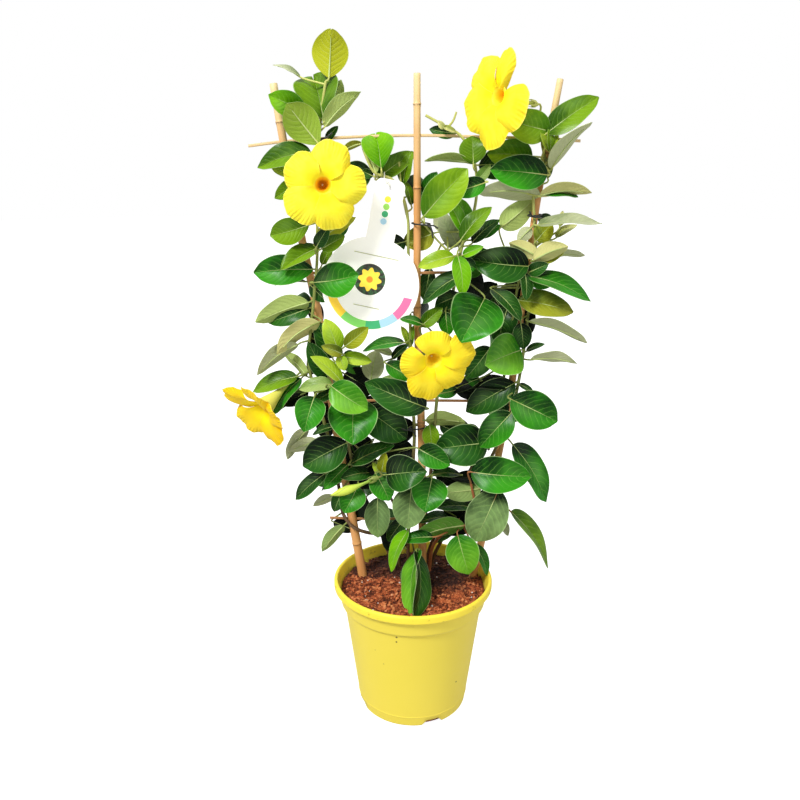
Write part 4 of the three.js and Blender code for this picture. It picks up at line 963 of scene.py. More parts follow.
neck_dot_up = (neck_row.math("FRACT") - 0.5) * DOT_SPACING
neck_dot = (x * x + neck_dot_up * neck_dot_up) ** 0.5
dots_top = DOTS_FOOT + DOTS * DOT_SPACING
neck_on = up.ease(DOTS_FOOT - PRINT_SOFT, DOTS_FOOT + PRINT_SOFT)
neck_on = neck_on * up.ease(dots_top + PRINT_SOFT, dots_top - PRINT_SOFT) * neck_dot.ease(*DOT_RIM)
neck_colour = neck_row.node("ValToRGB", {"steps": "CONSTANT", "stops": [
    (0.0, tint(164, 204, 220)), (0.25, tint(64, 168, 110)), (0.5, tint(150, 210, 90)),
    (0.75, tint(246, 206, 64)),
]}, {0: neck_row / DOTS})
print_shade = neck_on.blend(print_shade, neck_colour)
low_rule = (up + LOW_RULE[0]).size().ease(*RULE_RIM)
low_rule = low_rule * x.size().ease(LOW_RULE[1] + 2 * PRINT_SOFT, LOW_RULE[1])
high_rule = (up - HIGH_RULE[0]).size().ease(*RULE_RIM)
high_rule = high_rule * x.size().ease(HIGH_RULE[1] + 2 * PRINT_SOFT, HIGH_RULE[1])
rules = low_rule.math("MAXIMUM", high_rule)
print_shade = (rules * 0.7).blend(print_shade, tint(150, 156, 110))
back_shade = paper.blend(tint(226, 224, 216), tint(236, 234, 228))
card_shade = start.mark("front").blend(back_shade, print_shade)
# Painted light: the card glows with its own colours, as strongly as LABEL_GLOW, so it stays white in the
# leaves' shade.
label_finish.vary(Base_Color=card_shade, Emission_Color=card_shade)
label_finish.vary(Roughness=paper * 0.15 + 0.4)
label_finish.relief(start.grain(2600, detail=2), 0.02)
label_form.make("hang_label", [label_finish.material], "label_card", ["label"], sharp=40)

# Blooms: soft fresh petals, five to a bloom, each lapped over the next, crimped at its rim, and joined
# into a yellow-green tube that sits in a small green calyx. The throat fades to orange-brown, its own
# colour deepened by painted shade down the tube, as strongly as each bloom's shadow sets it.
TUBE_LENGTH = 46
PETAL_ROOT = 8.3
PETAL_THICK = 0.45
PETAL_ROWS = 30
PETAL_COLUMNS = 30
PETAL_LAP = 1.6
PETAL_ARCH = 3
PETAL_FALL = 4
PETAL_SINK = 1
ROOT_DIP = 1.3
SIDE_DROOP = 1.5
RIM_WAVE = 0.012
RIM_RIPPLE = 0.004
FRILL_WAVE = 0.9
FRILL_RIPPLE = 0.3
TUBE_SIDES = 48
TUBE_OUTLINE = (
    (1.6, -46), (2.1, -37), (2.6, -30), (4.2, -23), (6.0, -16.5), (7.6, -11), (9.2, -5.6), (11.0, -2.4),
    (11.4, -1.5), (10.6, -1.3), (9.0, -1.8), (7.6, -2.7), (6.4, -4.4), (5.4, -7), (4.4, -10), (3.4, -13),
    (1.4, -14.2), (0.3, -14.4),
)
TUBE_INNER = 9
STIGMA_OUTLINE = ((0.2, -14.4), (0.9, -13.8), (1.1, -12.9), (0.7, -12.1), (0.15, -11.9))
STIGMA_SIDES = 10
THROAT_SHADE = tint(214, 138, 10)
THROAT_EDGE_SHADE = tint(246, 186, 12)
STREAKS = 46
STREAK_SHADE = tint(216, 150, 0)
STREAK_STRENGTH = 0.18
PETAL_RIM_SHADE = tint(255, 244, 130)
PETAL_RIM_STRENGTH = 0.35
BLOOM_SEED = 5
BLOOMS = {
    "bloom_left": {
        "throat": (-88, 554.5, 54), "facing": (0.14, -0.99, 0), "cup": 0, "ripe": 0.1, "shadow": 0.9,
        "petals": ((71, 40, 42, 0.3), (0, 39.5, 42, 0.28), (-70, 41, 41, 0.22), (-137, 41, 41, 0.24),
                   (148, 37, 46, 0.26)),
    },
    "bloom_top": {
        "throat": (75.6, 635, 40), "facing": (-0.82, -0.56, 0.1), "cup": 0.1, "ripe": 0.3, "shadow": 0.4,
        "petals": ((130, 42, 47, 0.26), (66, 41, 33, 0.8), (-34, 44, 44, 0.28), (-99, 46, 40, 0.3),
                   (-170, 45, 48, 0.22)),
    },
    "bloom_side": {
        "throat": (-157, 330, 33), "facing": (-0.59, -0.65, -0.48), "cup": 0.5, "ripe": 0.8, "shadow": 0.7,
        "petals": ((168, 46, 33, 0.36), (96, 40, 44, 0.28), (22, 38, 44, 0.28), (-50, 43, 44, 0.3),
                   (-122, 44, 44, 0.28)),
    },
    "bloom_centre": {
        "throat": (21, 380, 50), "facing": (0.16, -0.96, -0.2), "cup": 0.1, "ripe": 0.5, "shadow": 0.22,
        "petals": ((88, 31, 48, 0.14), (15, 41, 38, 0.22), (-42, 37, 42, 0.24), (-105, 42, 42, 0.26),
                   (-174, 33, 46, 0.22)),
    },
}
bloom_draw = np.random.default_rng(BLOOM_SEED)


def petal_point(u, v, petal, cup, crimp):
    """A place on a petal about the bloom's axis: u runs from its root to its rim, v from side to side."""
    turn, reach, spread, cleft = petal
    wave = 1 + RIM_WAVE * math.sin(9 * v + crimp) + RIM_RIPPLE * math.sin(23 * v + 2 * crimp)
    rim = reach * (1 - cleft * abs(v) ** 2.5) * wave
    along = (rim - PETAL_ROOT) * u / math.hypot(1, cup)
    angle = math.radians(turn + v * spread * (0.93 + 0.07 * math.sin(math.pi * u)))
    away = PETAL_ROOT + along
    lift = along * cup + PETAL_ARCH * math.sin(math.pi * u) - PETAL_FALL * u * u - PETAL_SINK
    lift -= ROOT_DIP * max(0, 1 - u / 0.12) ** 2
    lift -= PETAL_LAP * v * math.sin(math.pi * min(1, u + 0.1))
    lift += u ** 3 * (FRILL_WAVE * math.sin(8 * v + crimp) + FRILL_RIPPLE * math.sin(21 * v + 2 * crimp))
    lift -= SIDE_DROOP * u * u * v * v
    return np.array([away * math.cos(angle), away * math.sin(angle), lift])


def bloom_frame(throat, facing):
    """Where a bloom's mouth is, and its three directions, the last along its tube towards the viewer."""
    axis = unit(np.array(facing, float))
    first = unit(np.array([1, 0, 0]) - axis * axis[0])
    return seen(*throat), first, np.cross(axis, first), axis


def petal_shade(start, ripe, deep, crinkle):
    """Yellow turning golden with ripeness, orange-brown down the throat: its own colour and painted shade.
    """
    fresh = crinkle.blend(tint(255, 232, 14), tint(255, 251, 80))
    golden = crinkle.blend(tint(240, 184, 0), tint(252, 210, 4))
    shade = ripe.blend(fresh, golden)
    shade = deep.ease(-1.2, -4.4).blend(shade, THROAT_EDGE_SHADE)
    return deep.ease(-5, -13).blend(shade, THROAT_SHADE)


petal_finish = Finish("petal_yellow", Specular_IOR_Level=0.15)
start = petal_finish.start
along = start.mark("along")
across = start.mark("across")
crinkle = start.grain(110, detail=3)
ripe = start.mark("ripe") + (across.size() * along).ease(0.3, 1) * 0.22
front = petal_shade(start, ripe, start.mark("deep"), crinkle)
front = (along.ease(0.45, 0.1) * 0.6).blend(front, tint(255, 236, 0))
furrow = (across * STREAKS + crinkle * 7).math("SINE")
streak = furrow.ease(0.35, 1) * along.ease(0.6, 0.92)
front = (streak * STREAK_STRENGTH).blend(front, STREAK_SHADE)
rim = along.ease(0.955, 1).math("MAXIMUM", across.size().ease(0.975, 1))
front = (rim * PETAL_RIM_STRENGTH).blend(front, PETAL_RIM_SHADE)
back = start.mark("ripe").blend(tint(250, 226, 70), tint(236, 196, 24))
petal_finish.vary(Base_Color=start.mark("upper").blend(back, front), Roughness=crinkle * 0.15 + 0.5)
petal_finish.relief(furrow * along.ease(0.5, 1) * 0.3 + crinkle * 0.5, 0.7)
tube_finish = Finish("flower_tube", Specular_IOR_Level=0.3)
start = tube_finish.start
ribs = start.grain(120, detail=2)
outside = start.mark("along").blend(tint(188, 200, 92), tint(244, 228, 96))
outside = (ribs * 0.25).blend(outside, tint(150, 176, 70))
inside = petal_shade(start, start.mark("ripe"), start.mark("deep"), ribs)
tube_finish.vary(Base_Color=start.mark("inner").blend(outside, inside), Roughness=ribs * 0.1 + 0.5)
tube_finish.relief(ribs, 0.3)
stigma_finish = Finish("stigma_cream", Roughness=0.6)
pollen = stigma_finish.start.grain(2200, detail=2)
stigma_finish.vary(Base_Color=pollen.blend(tint(236, 214, 120), tint(255, 248, 214)))

for name, bloom in BLOOMS.items():
    mouth, first, second, axis = bloom_frame(bloom["throat"], bloom["facing"])
    turn_to = np.array([first, second, axis])
    form = Form()
    shares = np.linspace(0, 1, PETAL_ROWS) ** 0.85
    sides = np.linspace(-1, 1, PETAL_COLUMNS)
    for petal in bloom["petals"]:
        crimp = bloom_draw.uniform(0, 2 * math.pi)
        surface = np.array([[petal_point(u, v, petal, bloom["cup"], crimp) for v in sides] for u in shares])
        marks = {
            "along": np.repeat(shares[:, None], PETAL_COLUMNS, axis=1),
            "across": np.tile(sides, (PETAL_ROWS, 1)),
            "ripe": bloom["ripe"] + bloom_draw.uniform(-0.1, 0.1),
        }
        # Painted shade: near the root the petals darken by how far they sink, as strongly as the bloom's
        # shadow.
        deep = np.where(shares[:, None] < 0.15, surface[:, :, 2] + 0.2, 0)
        marks["deep"] = np.minimum(0, deep) * bloom["shadow"]
        shell(form, surface @ turn_to + mouth, PETAL_THICK, 0, marks)
    rings = turned(TUBE_OUTLINE, TUBE_SIDES)
    inner = np.arange(len(TUBE_OUTLINE)) >= TUBE_INNER
    # Painted shade: the tube darkens inside with depth, as strongly as the bloom's shadow.
    marks = {
        "along": np.array([1 + height / TUBE_LENGTH for _, height in TUBE_OUTLINE]),
        "deep": np.array([height for _, height in TUBE_OUTLINE]) * bloom["shadow"],
        "inner": inner.astype(float),
        "ripe": np.full(len(TUBE_OUTLINE), float(bloom["ripe"])),
    }
    form.loft(rings @ turn_to + mouth, 1, marks)
    tip = turned(STIGMA_OUTLINE, STIGMA_SIDES)
    form.loft(tip @ turn_to + mouth, 2)
    materials = [petal_finish.material, tube_finish.material, stigma_finish.material]
    form.make(name + "_petals", materials, "petal", [name], sharp=60)

# Long bud: a soft closed bloom, lime yellow and furled in a spiral, on a short calyx and stalk.
BUD_ROOT = (-42, 251, 36)
BUD_TIP = (-89, 232, 42)
BUD_SHAPE = (
    (0, 1.4), (0.08, 1.5), (0.2, 1.5), (0.3, 1.8), (0.4, 2.7), (0.5, 3.9), (0.6, 4.6), (0.7, 4.5),
    (0.8, 3.6), (0.9, 2.1), (0.96, 1.1), (1, 0.3),
)
BUD_SIDES = 24
BUD_RINGS = 36
BUD_SAG = 1.2
bud_finish = Finish("bud_lime", Specular_IOR_Level=0.3)
start = bud_finish.start
along = start.mark("along")
around = start.mark("around")
furl = (around * 3 + along * 1.6).math("FRACT")
seam = (furl - 0.5).size().ease(0.42, 0.5)
ripe = along.ease(0.15, 0.6).blend(tint(150, 182, 66), tint(204, 222, 82))
lined = (seam * 0.5).blend(ripe, tint(140, 170, 50))
bud_finish.vary(Base_Color=lined, Roughness=start.grain(300, detail=2) * 0.15 + 0.4)
bud_finish.relief(furl, 0.7)
bud_root = seen(*BUD_ROOT)
bud_tip = seen(*BUD_TIP)
bud_shares = np.linspace(0, 1, BUD_RINGS)
bud_sag = np.outer(np.sin(math.pi * bud_shares), (0, 0, -BUD_SAG))
bud_line = bud_root + np.outer(bud_shares, bud_tip - bud_root) + bud_sag
bud_radii = np.interp(bud_shares, [share for share, _ in BUD_SHAPE], [radius for _, radius in BUD_SHAPE])
bud_form = Form()
bud_around = np.tile(np.linspace(0, 1, BUD_SIDES, endpoint=False), (len(bud_line), 1))
bud_along = np.repeat(bud_shares[:, None], BUD_SIDES, axis=1)
bud_form.loft(swept(bud_line, bud_radii, BUD_SIDES), 0, {"along": bud_along, "around": bud_around})
bud_form.make("bud_long_furled", [bud_finish.material], "bud", ["bud_long"])

# Leafy stems: nine twining stems, woody brown at the foot and green above, tied to the canes. Leaves are
# leathery and broad with small points, glossy above with fine pale veins and rims, and matte and
# grey-green beneath. Stems, stalks, leaves and the blooms' calyxes have grown in one piece.
# Each blade is painted lighter towards its tip and on its lower half and darker at its foot, as light falls.
LEAF_PROPORTION = 1.45
BLADE_ARCH = 0.07
BLADE_FOLD = 0.22
BLADE_THICK = 0.45
RIB_RADIUS = 0.85
STALK_RADIUS = 1.0
STEM_FOOT_RADIUS = 2.1
STEM_TIP_RADIUS = 1.25
TWIG_RADIUS = 1.15
STEM_SIDES = 12
STALK_STEP = 2.5
STALK_SIDES = 7
RIB_PLACES = (0.02, 0.15, 0.35, 0.6, 0.85)
RIB_SINK = 0.1
EDGE_PLACES = ((33, (0.13, 0.38, 0.66, 0.88)), (21, (0.18, 0.5, 0.84)), (0, (0.3, 0.72)))
LARGE_LEAF = 20
LARGE_GRID = (26, 15)
SMALL_GRID = (18, 9)
CALYX_OUTLINE = ((0.3, -5), (1.5, -5), (2.4, -3), (2.9, -0.5), (2.6, 1.2), (2.1, 0.4), (0.3, -0.6))
CALYX_SIDES = 16
SEPALS = 5
SEPAL_ROWS = 8
SEPAL_THICK = 0.4
VEINS = 8
SLIDES = (0, 6, -6, 12, -12, 18, -18, 24)
REACHES = (0, 10, -10, 20, -20, 30)
MATCH = 0.2
LEAF_SEED = 3
BACK_LEAF_SEED = 20260
BACK_LEAF_NARROWER = 18
BACK_LEAF_REACH = 16
BACK_LEAF_WIDTH = 24
BACK_LEAF_BEHIND = 8
BACK_LEAF_LEAN = -0.9
DRAW_FACTOR = 16807
DRAW_ROUND = 2147483647
SHADE_HEIGHT = 480
VEIN_SHADE = tint(160, 204, 100)
VEIN_STRENGTH = 0.3
NET_SCALE = 480
NET_STRENGTH = 0.16
RIM_SHADE = tint(190, 218, 150)
RIM_STRENGTH = 0.5
MIDRIB_SHADE = tint(188, 214, 130)
MIDRIB_STRENGTH = 0.62
SHEEN_SHADE = tint(138, 184, 108)
SHEEN_STRENGTH = 0.46
BENEATH_VEIN_SHADE = tint(204, 212, 140)
BENEATH_RIM_SHADE = tint(204, 212, 160)
LIT_STRENGTH = 1.25
DARKEST = 0.46
# Leaf tones are partly the leaves' own colours and partly painted light and shade, matched leaf by leaf.
LEAF_TONES = {
    # Painted shade: near black above, for leaves that stand for the darkest gaps deep in the foliage.
    "shade": (tint(0, 2, 0), tint(6, 18, 6), tint(96, 120, 66), 0.1),
    # Painted shade: near black beneath, the side that back leaves low down turn to the front.
    "behind": (tint(8, 44, 3), tint(64, 128, 32), tint(12, 26, 8), 0.25),
    "dark": (tint(1, 14, 3), tint(34, 92, 14), tint(96, 124, 68), 1),
    "mid": (tint(2, 38, 2), tint(50, 144, 14), tint(122, 150, 72), 1),
    "fresh": (tint(30, 106, 4), tint(116, 184, 42), tint(148, 178, 78), 1),
    "bright": (tint(60, 130, 0), tint(122, 186, 4), tint(156, 184, 60), 1),
    "leafy": (tint(44, 84, 0), tint(112, 152, 8), tint(150, 174, 70), 0.8),
    "limy": (tint(66, 116, 0), tint(138, 176, 26), tint(166, 188, 76), 0.8),
    "lime": (tint(118, 156, 4), tint(184, 208, 60), tint(184, 202, 84), 0.8),
    "olive": (tint(66, 88, 0), tint(156, 160, 42), tint(154, 162, 62), 0.8),
    "gold": (tint(96, 108, 0), tint(170, 176, 30), tint(168, 174, 36), 1),
    "pale": (tint(84, 126, 34), tint(176, 196, 116), tint(158, 178, 94), 0.8),
    "grey": (tint(112, 128, 82), tint(198, 202, 162), tint(178, 186, 136), 0.7),
    "tan": (tint(140, 150, 60), tint(220, 216, 148), tint(198, 194, 120), 0.7),
    "sheen": (tint(2, 34, 6), tint(142, 176, 104), tint(150, 172, 98), 1),
}


def leaf_finish(name, low, high, beneath, veined):
    """Leaf skin: low to high on its upper side, with pale veins and rim as strong as veined, and beneath."""
    finish = Finish("leaf_" + name, Specular_IOR_Level=0.1, Coat_Roughness=0.2)
    start = finish.start
    across = start.mark("across")
    along = start.mark("along")
    offset = start.mark("offset")
    draw = start.mark("draw")
    out = across.size()
    wander = start.grain(60, detail=2) - 0.5
    other_half = across.ease(-0.01, 0.01) * 0.4
    phase = (along - out * 0.14 - out * out * 0.2 + wander * 0.16) * VEINS + other_half
    between = (phase.math("FRACT") - 0.5).size()
    side_vein = between.ease(0.05, 0.01) * out.ease(0.95, 0.3) * along.ease(0.02, 0.1)
    midrib = offset.size().ease(0.6, 0.2) * along.ease(1.1, 0.6)
    edges = {"feature": "DISTANCE_TO_EDGE"}
    net = start.node("TexVoronoi", edges, {"Vector": start.place(), "Scale": NET_SCALE})
    fine_vein = net.ease(0.07, 0.0)
    rim = out.ease(0.95, 0.99)
    patch = start.grain(40, detail=3)
    beside = between.ease(0.3, 0.06) * 0.08
    # Painted shade darkens the blade's foot by its stalk, and lit paints light and shade along it and across
    # its halves.
    foot = along.ease(0.28, 0.02) * 0.3
    bright = patch.ease(0.34, 0.68) * 0.42 + draw * 0.2 + start.mark("lit") * LIT_STRENGTH
    bright = bright + beside - foot - DARKEST
    flesh = bright.blend(low, high)
    sheen = start.mark("sheen") * (patch * 0.5 + 0.5) * (0.75 - beside * 2)
    flesh = (sheen * SHEEN_STRENGTH * veined).blend(flesh, SHEEN_SHADE)
    flesh = (fine_vein * NET_STRENGTH * veined).blend(flesh, high)
    flesh = (side_vein * VEIN_STRENGTH * veined).blend(flesh, VEIN_SHADE)
    flesh = (rim * RIM_STRENGTH * veined).blend(flesh, RIM_SHADE)
    flesh = (midrib * MIDRIB_STRENGTH * veined).blend(flesh, MIDRIB_SHADE)
    under = (patch * 0.6 + fine_vein * 0.2 + draw * 0.2).blend(beneath, high)
    under_veins = (side_vein * 0.4 + midrib * 0.5).math("MINIMUM", 1) * veined
    under = under_veins.blend(under, BENEATH_VEIN_SHADE)
    under = (rim * 0.3 * veined).blend(under, BENEATH_RIM_SHADE)
    face = start.mark("upper")
    finish.vary(Base_Color=face.blend(under, flesh), Coat_Weight=face * 0.1)
    finish.vary(Roughness=0.6 - face * 0.22 + patch * 0.12)
    quilt = between.ease(0.0, 0.45) * out.ease(1.0, 0.6) * 0.18
    finish.relief(quilt + fine_vein * -0.06 + midrib * -0.3 + patch * 0.6 + 0.3, 1.0)
    return finish.material


leaf_materials = {tone: leaf_finish(tone, *shades) for tone, shades in LEAF_TONES.items()}


def stem_finish(name, woody, green):
    """Stem skin, from the woody shade low on the plant to the green of young growth."""
    finish = Finish("stem_" + name, Specular_IOR_Level=0.35)
    start = finish.start
    height = start.coordinate(2)
    streaks = start.grain(300, detail=3, stretch=(1, 1, 0.15))
    age = (height + (streaks - 0.5) * 0.1).ease(0.24, 0.36) * 0.8
    young = age.math("MAXIMUM", start.mark("young"))
    barked = streaks.blend(woody[0], woody[1])
    fresh = (streaks * 0.6 + (height + (streaks - 0.5) * 0.1).ease(0.42, 0.62) * 0.7).blend(*green)
    dots = start.spots(420).ease(0.22, 0.1)
    skin = young.blend(barked, fresh)
    skin = (dots * (1 - young) * 0.6).blend(skin, tint(186, 158, 120))
    skin = start.mark("rib").blend(skin, tint(186, 202, 128))
    finish.vary(Base_Color=skin, Roughness=streaks * 0.2 + 0.45)
    finish.relief(streaks, 0.35)
    return finish.material


stem_materials = {
    "green": stem_finish("green", (tint(74, 54, 34), tint(116, 88, 58)),
                         (tint(74, 108, 30), tint(208, 212, 116))),
    "red": stem_finish("red", (tint(132, 72, 44), tint(196, 122, 74)),
                       (tint(150, 92, 52), tint(190, 134, 84))),
}


class Leaf:
    """A leaf's frame from a row of base x and z, tip x and z, width seen, out, lean and side."""

    def __init__(self, row, slide=0, reach=0, fold=1, blunt=0, notch=0):
        base_x, base_z, tip_x, tip_z, width_seen, out, lean, side = row[:8]
        self.fold = BLADE_FOLD * fold
        self.blunt = blunt
        self.notch = notch
        self.arch = BLADE_ARCH
        seen_length = math.hypot(tip_x - base_x, tip_z - base_z)
        hidden = math.sqrt(max(0, (LEAF_PROPORTION * width_seen) ** 2 - seen_length ** 2))
        depth = lean if abs(lean) > 1 else lean * hidden
        self.base = seen(base_x, base_z, out + slide)
        tip = seen(tip_x, tip_z, out + slide + depth + reach)
        self.length = np.linalg.norm(tip - self.base)
        self.axis = (tip - self.base) / self.length
        self.width = max(width_seen, min(0.5 * self.length, 3 * width_seen))
        sight = unit(EYE - self.base)
        facing = unit(sight - self.axis * sight.dot(self.axis))
        edge = np.cross(self.axis, facing)
        cosine = min(1, width_seen / self.width)
        sine = math.sqrt(1 - cosine * cosine) * (-1 if edge[2] < 0 else 1)
        self.up = unit(facing * cosine * side + edge * sine)
        self.across = np.cross(self.axis, self.up)

    def rib(self, t):
        return (self.base + self.axis * t * self.length
                + self.up * self.arch * self.length * math.sin(math.pi * t))

    def half(self, t, roundness=0.62):
        return self.width / 2 * math.sin(math.pi * t ** (0.8 + self.blunt)) ** roundness

    def corners(self):
        """The tip and the edge points that the plain model's blade has."""
        shares = next(shares for width, shares in EDGE_PLACES if self.width > width)
        places = [self.base + self.axis * self.length]
        for t in shares:
            half = self.half(t)
            for side in (-1, 1):
                places.append(self.rib(t) + self.across * half * side + self.up * BLADE_FOLD * half)
        return places


PHOTO_SIDE = 800
FOCAL_LENGTH = PHOTO_SIDE * CAMERA_LENS / SENSOR_WIDTH
TRELLIS_AWAY = TRELLIS_Y - EYE[1]


def on_trellis(column, line):
    """Where a pixel of the photograph meets the trellis plane: x, z and how deep in the view it lies."""
    sine = math.sin(math.radians(CAMERA_PITCH))
    cosine = math.cos(math.radians(CAMERA_PITCH))
    right = (column - PHOTO_SIDE / 2) / FOCAL_LENGTH
    above = (PHOTO_SIDE / 2 - line) / FOCAL_LENGTH
    rise = TRELLIS_AWAY * (above * cosine - sine) / (cosine + above * sine)
    depth = TRELLIS_AWAY * cosine - rise * sine
    return EYE[0] + right * depth, EYE[2] + rise, depth


def in_millimetres(base, tip, width, out):
    """A leaf's base x and z, tip x and z and width in whole millimetres, from its pixels."""
    base_x, base_z, base_depth = on_trellis(*base)
    tip_x, tip_z, tip_depth = on_trellis(*tip)
    depth = (base_depth + tip_depth) / 2 * (1 - out / TRELLIS_AWAY)
    return [round(value) for value in (base_x, base_z, tip_x, tip_z, width * depth / FOCAL_LENGTH)]


def shown(base, tip, width, forward=0, **form):
    """How the photograph shows a leaf that differs from the plain model's, in pixels.

    forward is how many millimetres nearer it is brought. form may give its fold, how blunt its end is
    and how deep the notch in its tip is.
    """
    return {"base": base, "tip": tip, "width": width, "forward": forward, "form": form}


def added(base, tip, width, out, tone="shade"):
    """The row of a leaf that the plain model doesn't have, from how the photograph shows it in pixels.

    Most take the shade tone: near-black leaves that paint the shade deep in the foliage, where little shows.
    """
    return (*in_millimetres(base, tip, width, out), out, 0, 1, tone)


def settled(row, tree):
    """The leaf at the depth of the plain model's leaf, or of its row if it isn't in the plain model.

    A row may end with how the leaf differs from the plain one.
    """
    best = (2, 0, 0)
    for slide in SLIDES:
        for reach in REACHES:
            leaf = Leaf(row, slide, reach)
            found = sum(tree.find(place * MM)[2] < MATCH * MM for place in leaf.corners())
            if found > best[0]:
                best = (found, slide, reach)
    ends = list(row[:5])
    out = row[5]
    differs = row[9] if len(row) > 9 else {}
    if "base" in differs:
        ends = in_millimetres(differs["base"], differs["tip"], differs["width"], out)
        out += differs["forward"]
    ends[4] -= differs.get("narrower", 0)
    leaf = Leaf([*ends, out, *row[6:8]], best[1], best[2], **differs.get("form", {}))
    leaf.arch *= 0.65 + 0.35 * min(1, ends[4] / leaf.width)
    return leaf


def add_leaf(form, leaf, slot, draw, samples, rows, columns):
    """Blade with its fold, waves and small point, then the stalk that runs on as the blade's midrib."""
    wave = draw.uniform(0, 2 * math.pi)
    ripple = draw.uniform(0.01, 0.045) * leaf.width
    droop = draw.uniform(-0.02, 0.09) * leaf.length
    contrast = draw.uniform(0.1, 0.5)
    upper_half = leaf.across[2] * draw.uniform(0.4, 1)
    skew = draw.uniform(-0.05, 0.05) * leaf.length
    shares = (1 - np.cos(np.linspace(0, math.pi, rows))) / 2
    sides = np.linspace(1, -1, columns)
    surface = np.zeros((rows, columns, 3))
    offsets = np.zeros((rows, columns))
    for i, t in enumerate(shares):
        end = max(0, (t - 0.94) / 0.06)
        half = leaf.half(min(max(t, 0.0005), 0.9995), 0.6 - 0.12 * t)
        half = max(half * (1 - (0 if leaf.notch else 0.5) * end), 0.35)
        rib = leaf.rib(t) - leaf.up * droop * t ** 3 + leaf.across * skew * math.sin(math.pi * t) * 0.5
        rib = rib + leaf.axis * leaf.length * 0.035 * end
        for j, u in enumerate(sides):
            lift = leaf.fold * half * (1.7 * abs(u) - 0.7 * u * u)
            lift += ripple * u * u * math.sin(wave + 9 * t + (2.1 if u > 0 else 0))
            dent = leaf.notch * leaf.length * t ** 8 * (1 - abs(u)) ** 1.5
            surface[i, j] = rib + leaf.across * half * u + leaf.up * lift - leaf.axis * dent
            offsets[i, j] = half * u / max(0.35, 1 - 0.6 * t)
    halves = np.tanh(6 * sides)[None, :] * (0.6 + 0.4 * np.abs(sides))[None, :]
    lit = 0.5 + contrast * (shares[:, None] - 0.45) - 0.48 * upper_half * halves
    sheen_along, sheen_across = draw.uniform(0.3, 0.75), draw.uniform(-0.6, 0.6)
    sheen = np.exp(-((shares[:, None] - sheen_along) / 0.2) ** 2) * draw.uniform(0.1, 1)
    sheen = sheen * np.exp(-((sides[None, :] - sheen_across) / 0.4) ** 2)
    marks = {
        "across": np.tile(sides, (rows, 1)), "along": np.repeat(shares[:, None], columns, axis=1),
        "offset": offsets, "draw": draw.uniform(), "lit": lit, "sheen": sheen,
    }
    shell(form, surface, BLADE_THICK, slot, marks)
    away = leaf.base - samples
    distance = np.linalg.norm(away, axis=1)
    heading = away @ leaf.axis / np.maximum(distance, 0.01)
    foot = samples[np.argmin((distance + 1) * (1.7 - heading))]
    gap = np.linalg.norm(leaf.base - foot)
    line = [foot]
    if gap > 3:
        line.append(leaf.base - leaf.axis * min(3, 0.4 * gap) - leaf.up * 0.3)
    below = BLADE_THICK / 2 + RIB_SINK
    for t in RIB_PLACES:
        row = np.argmin(abs(shares - t))
        line.append(surface[row, columns // 2] - leaf.up * below)
    path = smooth_line(line, STALK_STEP)
    travelled = np.linalg.norm(path - path[0], axis=1)
    radii = np.interp(travelled, [0, gap, gap + leaf.length], [STALK_RADIUS, RIB_RADIUS, 0.15])
    rib_share = np.clip((travelled - gap) / 3, 0, 1)
    form.loft(swept(path, radii, STALK_SIDES), 0, {"young": 0.9, "rib": rib_share})


def add_calyx(form, seat, axis):
    """Narrow green sepals round a small cup at the foot of a flower tube."""
    first = unit(np.cross(axis, (0.3, 0.2, 1)))
    second = np.cross(axis, first)
    turn_to = np.array([first, second, axis])
    cup = turned(CALYX_OUTLINE, CALYX_SIDES)
    form.loft(cup @ turn_to + seat, 0, {"young": 1.0})
    for turn in full_turn(SEPALS):
        blade = []
        for t in np.linspace(0, 1, SEPAL_ROWS):
            half = 1.5 * (1 - t) ** 0.8 + 0.12
            reach = 2.5 + 0.8 * math.sin(2.6 * t)
            blade.append([(reach * math.cos(turn) - v * half * math.sin(turn),
                           reach * math.sin(turn) + v * half * math.cos(turn), -2 + 8 * t)
                          for v in (-1, 0, 1)])
        shell(form, np.array(blade) @ turn_to + seat, SEPAL_THICK, 0, {"young": 1.0})


